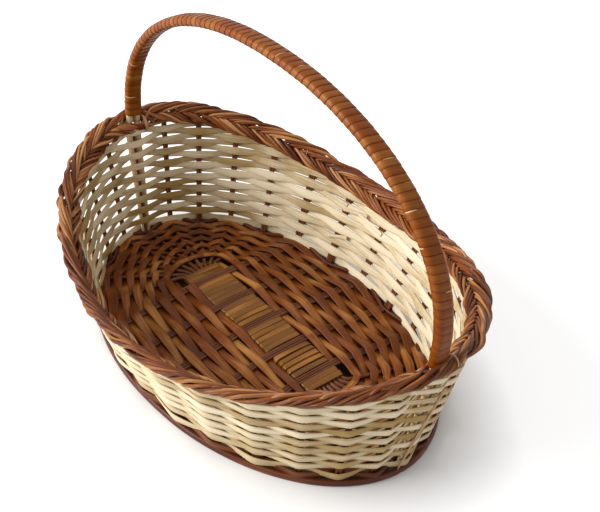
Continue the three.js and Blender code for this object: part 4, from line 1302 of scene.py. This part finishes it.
class BASKET_OT_handle_rods(bpy.types.Operator):
    """The two pale rods of the bow, tapered down the wall"""
    bl_idname = "basket.handle_rods"
    bl_label = "Handle Rods"

    def execute(self, context):
        sizes, colours = sizes_of(context), colours_of(context)
        finish = cane_finish("Bare rod", mixed_colour(colours.bare, colours.stake_light, 0.6), colours.bare,
                             mixed_colour(colours.bare, BLEACHED_ROD, 0.6), roughness=0.55, coat=0.1,
                             bump=0.25, edge=0.0)
        rod, steps = sizes.handle_rod / MM, 30
        heights = np.linspace(STAKE_FOOT, float(rim_height(0.0)) - LEG_FULL_DROP, steps)
        leg = wall_line(np.zeros(steps), heights)
        radii = np.array([leg_radius(height, rod) for height in heights])
        spread = sizes.end_rod / MM / 2 + CLEARANCE + radii
        bow = even(bow_line(), spacing=4.0)
        line = np.concatenate([leg, bow, (leg * [-1, 1, 1])[::-1]])
        swell = np.concatenate([radii * 2 / rod, np.ones(len(bow)), (radii * 2 / rod)[::-1]])
        apart = np.concatenate([spread, np.full(len(bow), ROD_SPREAD), spread[::-1]])
        for side, name in ((-1, "handle_rod_near"), (1, "handle_rod_far")):
            points = eased(line + columns(0.0, side * apart, 0.0))
            lines = CaneLines()
            lines.add(points, np.broadcast_to(ACROSS_BOW, points.shape), swell)
            sweep(name + "_peeled", lines, finish, rod, rod, [name], ROUND_ROD, steps=4)
        return {"FINISHED"}


class BASKET_OT_handle_wrap(bpy.types.Operator):
    """Flat cane wound turn by turn round the bow"""
    bl_idname = "basket.handle_wrap"
    bl_label = "Handle Wrap"

    def execute(self, context):
        sizes, colours = sizes_of(context), colours_of(context)
        rng = np.random.RandomState(300)
        finish = cane_finish("Handle cane", mixed_colour(colours.handle, HANDLE_STAIN_AND_SHADE, 0.75), colours.handle,
                             mixed_colour(colours.handle, colours.handle_light, 0.32), roughness=0.36,
                             coat=0.08, fibre=1.5, bump=0.25, edge=0.85, blotch=0.25)
        skin, width, turns = sizes.handle_skin / MM, sizes.handle_turn / MM, sizes.handle_turns
        radius = sizes.handle_rod / MM / 2 + CLEARANCE + skin / 2
        per_turn = 26
        share = np.linspace(0, turns, turns * per_turn + 1)
        size = len(share)
        bow = even(bow_line(), spacing=0.5)
        run = run_along(bow)
        place = width / 2 + share * (run[-1] - width) / turns
        centre = at_distance(place, run, bow)
        way = unit(at_distance(place, run, tangents(bow)))
        normal = np.cross(np.broadcast_to(ACROSS_BOW, way.shape), way)
        y, z, out_y, out_z = rounded_box(share + WINDING_START, ROD_SPREAD + radius, radius, radius * 0.98)
        faces = ACROSS_BOW * out_y[:, None] + normal * out_z[:, None]
        lap = WRAP_LAP * np.sin(2 * np.pi * share * LAP_SHIFT) ** 2
        points = centre + ACROSS_BOW * y[:, None] + normal * z[:, None] + faces * lap[:, None]
        height = centre[:, 2] / centre[:, 2].max()
        tint = LEG_TINT + BOW_TINT * height + wander(rng, size, every=per_turn * 1.7, by=0.26)
        golden = rng.uniform(0, 1, turns + 1) > TURN_GOLDEN_FROM
        glint = TURN_GOLDEN_TINT * np.sin(np.pi * (share % 1.0)) ** 2
        tint = tint + np.where(golden[share.astype(int)], glint, 0.0)
        tint = tint + rng.uniform(-TURN_VARIETY, TURN_VARIETY, turns + 1)[np.rint(share).astype(int)]
        lines = CaneLines()
        tilted = rolled(faces, points, np.full(size, WINDING_TILT))
        lines.add(points, tilted, 1 + wander(rng, size, every=50, by=0.02), tint)
        sweep("handle_winding", lines, finish, width, skin, ["handle_wrap"],
              FLAT_CANE, steps=2)
        self.slivers(points, faces, way, share, turns, width, skin, colours, rng)
        return {"FINISHED"}

    def slivers(self, points, faces, way, share, turns, width, skin, colours, rng):
        """Pale slivers that lift off the edge of a turn every few turns."""
        finish = cane_finish("Pale sliver", colours.handle, colours.handle_light,
                             mixed_colour(colours.handle_light, BLEACHED_SLIVER, 0.6),
                             roughness=0.35, coat=0.2, blotch=0.2)
        lines = CaneLines()
        for turn in range(2, turns - 1, SLIVER_EVERY):
            begin, size = turn + rng.uniform(0.0, 1.0), rng.uniform(*SLIVER_RUN)
            here = np.flatnonzero((share >= begin) & (share <= begin + size))
            aside = width * rng.uniform(*SLIVER_PLACE)
            raised = points[here] + way[here] * aside + faces[here] * skin * SLIVER_LIFT
            taper = 0.25 + 0.75 * np.sin(np.linspace(0.1, np.pi - 0.1, len(here)))
            lines.add(raised, faces[here], taper, tint=rng.uniform(0.2, 0.8))
        sweep("handle_slivers", lines, finish, SLIVER_WIDTH, SLIVER_THICKNESS, None)


class BASKET_OT_ties(bpy.types.Operator):
    """Thin pale cane that ties the bow to the plait, and the pale splint down the end wall"""
    bl_idname = "basket.ties"
    bl_label = "Ties"

    def execute(self, context):
        sizes, colours = sizes_of(context), colours_of(context)
        rng = np.random.RandomState(400)
        finish = cane_finish("Tie cane", mixed_colour(colours.bare, colours.stake_light, 0.7),
                             mixed_colour(colours.bare, colours.rim_light, 0.8), colours.bare,
                             roughness=0.45, coat=0.15, blotch=0.2)
        self.loops(sizes, finish, rng)
        self.splint(sizes, finish, rng)
        return {"FINISHED"}

    def loops(self, sizes, finish, rng):
        """Loops of thin cane round the plait, beside the rods of the bow."""
        lines, steps = CaneLines(), 40
        beside = ROD_SPREAD + sizes.handle_rod / MM / 2
        for leg, side, room, middle, half in TIES:
            turn = np.linspace(0, 2 * np.pi, steps, endpoint=False)
            angle = leg + (side * (beside + room) + np.sin(turn)) / RIM_B
            _, across, through = rim_frame(angle)
            out, up = middle + half * np.cos(turn), TIE_RISE * np.sin(turn)
            loop = rim_point(angle) + across * out[:, None] + through * up[:, None]
            faces = across * np.cos(turn)[:, None] + through * np.sin(turn)[:, None]
            swell = 1 + wander(rng, steps, every=9, by=0.12, closed=True)
            lines.add(loop, faces, swell, tint=rng.uniform(0.3, 0.6), closed=True)
        sweep("handle_ties", lines, finish, sizes.tie / MM, TIE_THICKNESS, None)

    def splint(self, sizes, finish, rng):
        """The thin splint that runs down the outside of the right end wall."""
        steps = 24
        height = np.linspace(SPLINT_LOW, SPLINT_HIGH, steps)
        angle = np.linspace(SPLINT_FROM, SPLINT_TO, steps)
        width, thickness = sizes.strip_width / MM, sizes.strip_thickness / MM
        swings = np.array([stake_swings(sizes, thickness, width, float(top), False)[0] for top in height])
        out = wall_frame(angle)[2]
        line = wall_line(angle, height) + out * (swings + thickness)[:, None]
        swell = 1 + wander(rng, steps, every=6, by=0.15) - 0.5 * np.exp(-(height - SPLINT_LOW) / SPLINT_POINT)
        lines = CaneLines()
        lines.add(line, out, swell, tint=0.6)
        sweep("end_splint", lines, finish, SPLINT_WIDTH, TIE_THICKNESS, None)


# Stage: pale floor, soft light and the camera at the photograph's angle

def camera_matrix():
    """Camera place and turn from its azimuth, elevation and roll."""
    azimuth, elevation, roll = map(math.radians, (CAMERA_AZIMUTH, CAMERA_ELEVATION, CAMERA_ROLL))
    back = Vector((math.sin(azimuth) * math.cos(elevation), -math.cos(azimuth) * math.cos(elevation),
                   math.sin(elevation)))
    right = Vector((0, 0, 1)).cross(back).normalized()
    above = back.cross(right)
    turned = right * math.cos(roll) + above * math.sin(roll)
    risen = above * math.cos(roll) - right * math.sin(roll)
    place = (back * CAMERA_DISTANCE + Vector(CAMERA_AIM)) * MM
    matrix = Matrix((turned, risen, back)).transposed().to_4x4()
    matrix.translation = place
    return matrix


class BASKET_OT_stage(bpy.types.Operator):
    """Pale floor, soft studio light and the camera"""
    bl_idname = "basket.stage"
    bl_label = "Stage"

    def execute(self, context):
        scene, settings = context.scene, context.scene.basket_stage
        camera = bpy.data.objects.new("Camera", bpy.data.cameras.new("Camera"))
        camera.data.lens = settings.lens
        camera.data.sensor_width = 36.0
        camera.data.shift_x, camera.data.shift_y = SHIFT_X, SHIFT_Y
        camera.data.clip_end = 50.0
        camera.matrix_world = camera_matrix()
        scene.collection.objects.link(camera)
        scene.camera = camera
        self.ground(scene, settings)
        self.lamp(scene, settings)
        self.world(scene, settings)
        scene.view_settings.view_transform = "Standard"
        return {"FINISHED"}

    def ground(self, scene, settings):
        """A pale square, with painted shade inside the foot, and lit for the background's rays outside it."""
        corners = [(x * GROUND_REACH, y * GROUND_REACH, 0) for x, y in ((-1, -1), (1, -1), (1, 1), (-1, 1))]
        mesh = bpy.data.meshes.new("ground")
        mesh.from_pydata(corners, [], [(0, 1, 2, 3)])
        ground = bpy.data.objects.new("ground", mesh)
        ground.location.z = GROUND_LEVEL
        scene.collection.objects.link(ground)
        material = bpy.data.materials.new("Pale ground")
        material.use_nodes = True
        tree = material.node_tree
        shader = tree.nodes["Principled BSDF"]
        shader.inputs["Roughness"].default_value = 0.9
        shader.inputs["Specular IOR Level"].default_value = 0.1
        place = tree.nodes.new("ShaderNodeNewGeometry")
        in_ovals = linked(tree, "ShaderNodeVectorMath", {0: place.outputs["Position"],
                                                        1: (1 / FOOT_A / MM, 1 / FOOT_B / MM, 0.0)},
                         operation="MULTIPLY")
        away = linked(tree, "ShaderNodeVectorMath", {0: in_ovals.outputs["Vector"]}, operation="LENGTH")
        glow = linked(tree, "ShaderNodeMapRange", {"Value": away.outputs["Value"], "From Min": GLOW_EDGE[0],
                                                   "From Max": GLOW_EDGE[1], "To Min": 0.0,
                                                   "To Max": settings.ground_glow})
        # Painted shade: inside the foot's oval the ground takes the dark shaded colour instead of the pale
        # one.
        edge = linked(tree, "ShaderNodeMapRange", {"Value": away.outputs["Value"],
                                                   "From Min": SHADE_EDGE[0], "From Max": SHADE_EDGE[1]})
        tone = linked(tree, "ShaderNodeValToRGB", {"Fac": edge.outputs[0]})
        tone.color_ramp.elements[0].color = (*SHADED_GROUND, 1.0)
        tone.color_ramp.elements[1].color = (*settings.ground, 1.0)
        tree.links.new(tone.outputs["Color"], shader.inputs["Base Color"])
        shown = math_node(tree, "MULTIPLY", background_rays(tree), glow.outputs[0])
        shader.inputs["Emission Color"].default_value = WHITE
        tree.links.new(shown, shader.inputs["Emission Strength"])
        mesh.materials.append(material)

    def lamp(self, scene, settings):
        """One large soft lamp, low on the left of the picture."""
        light = bpy.data.lights.new("Key", "AREA")
        light.shape = "DISK"
        light.size = KEY_SIZE
        light.energy = settings.key_power
        lamp = bpy.data.objects.new("Key", light)
        lamp.location = KEY_PLACE
        lamp.rotation_euler = (Vector(LIT_POINT) - Vector(KEY_PLACE)).to_track_quat("-Z", "Y").to_euler()
        scene.collection.objects.link(lamp)

    def world(self, scene, settings):
        """Soft light all round, and full white for the background's rays."""
        world = bpy.data.worlds.new("Studio")
        scene.world = world
        world.use_nodes = True
        tree = world.node_tree
        light = tree.nodes["Background"]
        light.inputs["Color"].default_value = WHITE
        light.inputs["Strength"].default_value = settings.world_level
        shown = linked(tree, "ShaderNodeBackground", {"Color": WHITE, "Strength": 1.0})
        mix = linked(tree, "ShaderNodeMixShader", {0: background_rays(tree), 1: light.outputs[0],
                                                   2: shown.outputs[0]})
        tree.links.new(mix.outputs[0], tree.nodes["World Output"].inputs["Surface"])


class BASKET_PT_panel(bpy.types.Panel):
    """Buttons for the steps, and their sizes, colours and stage settings"""
    bl_label = "Cane Basket"
    bl_idname = "BASKET_PT_panel"
    bl_space_type = "VIEW_3D"
    bl_region_type = "UI"
    bl_category = "Basket"

    def draw(self, context):
        column = self.layout.column()
        for operator in STEPS:
            column.operator(operator.bl_idname)
        for group in (context.scene.basket_sizes, context.scene.basket_colours, context.scene.basket_stage):
            box = self.layout.box()
            for key in group.__annotations__:
                box.prop(group, key)


STEPS = (BASKET_OT_stage, BASKET_OT_floor_sticks, BASKET_OT_floor_weavers, BASKET_OT_ladder_wraps,
         BASKET_OT_foot, BASKET_OT_stakes, BASKET_OT_wall, BASKET_OT_rim, BASKET_OT_handle_rods,
         BASKET_OT_handle_wrap, BASKET_OT_ties)
CLASSES = (BASKET_PG_sizes, BASKET_PG_colours, BASKET_PG_stage, *STEPS, BASKET_PT_panel)


def register():
    for item in CLASSES:
        bpy.utils.register_class(item)
    bpy.types.Scene.basket_sizes = bpy.props.PointerProperty(type=BASKET_PG_sizes)
    bpy.types.Scene.basket_colours = bpy.props.PointerProperty(type=BASKET_PG_colours)
    bpy.types.Scene.basket_stage = bpy.props.PointerProperty(type=BASKET_PG_stage)


def unregister():
    del bpy.types.Scene.basket_stage
    del bpy.types.Scene.basket_colours
    del bpy.types.Scene.basket_sizes
    for item in reversed(CLASSES):
        bpy.utils.unregister_class(item)


def main():
    """Registers the classes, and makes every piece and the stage."""
    register()
    for operator in STEPS:
        group, name = operator.bl_idname.split(".")
        getattr(getattr(bpy.ops, group), name)()


if __name__ == "__main__":
    main()
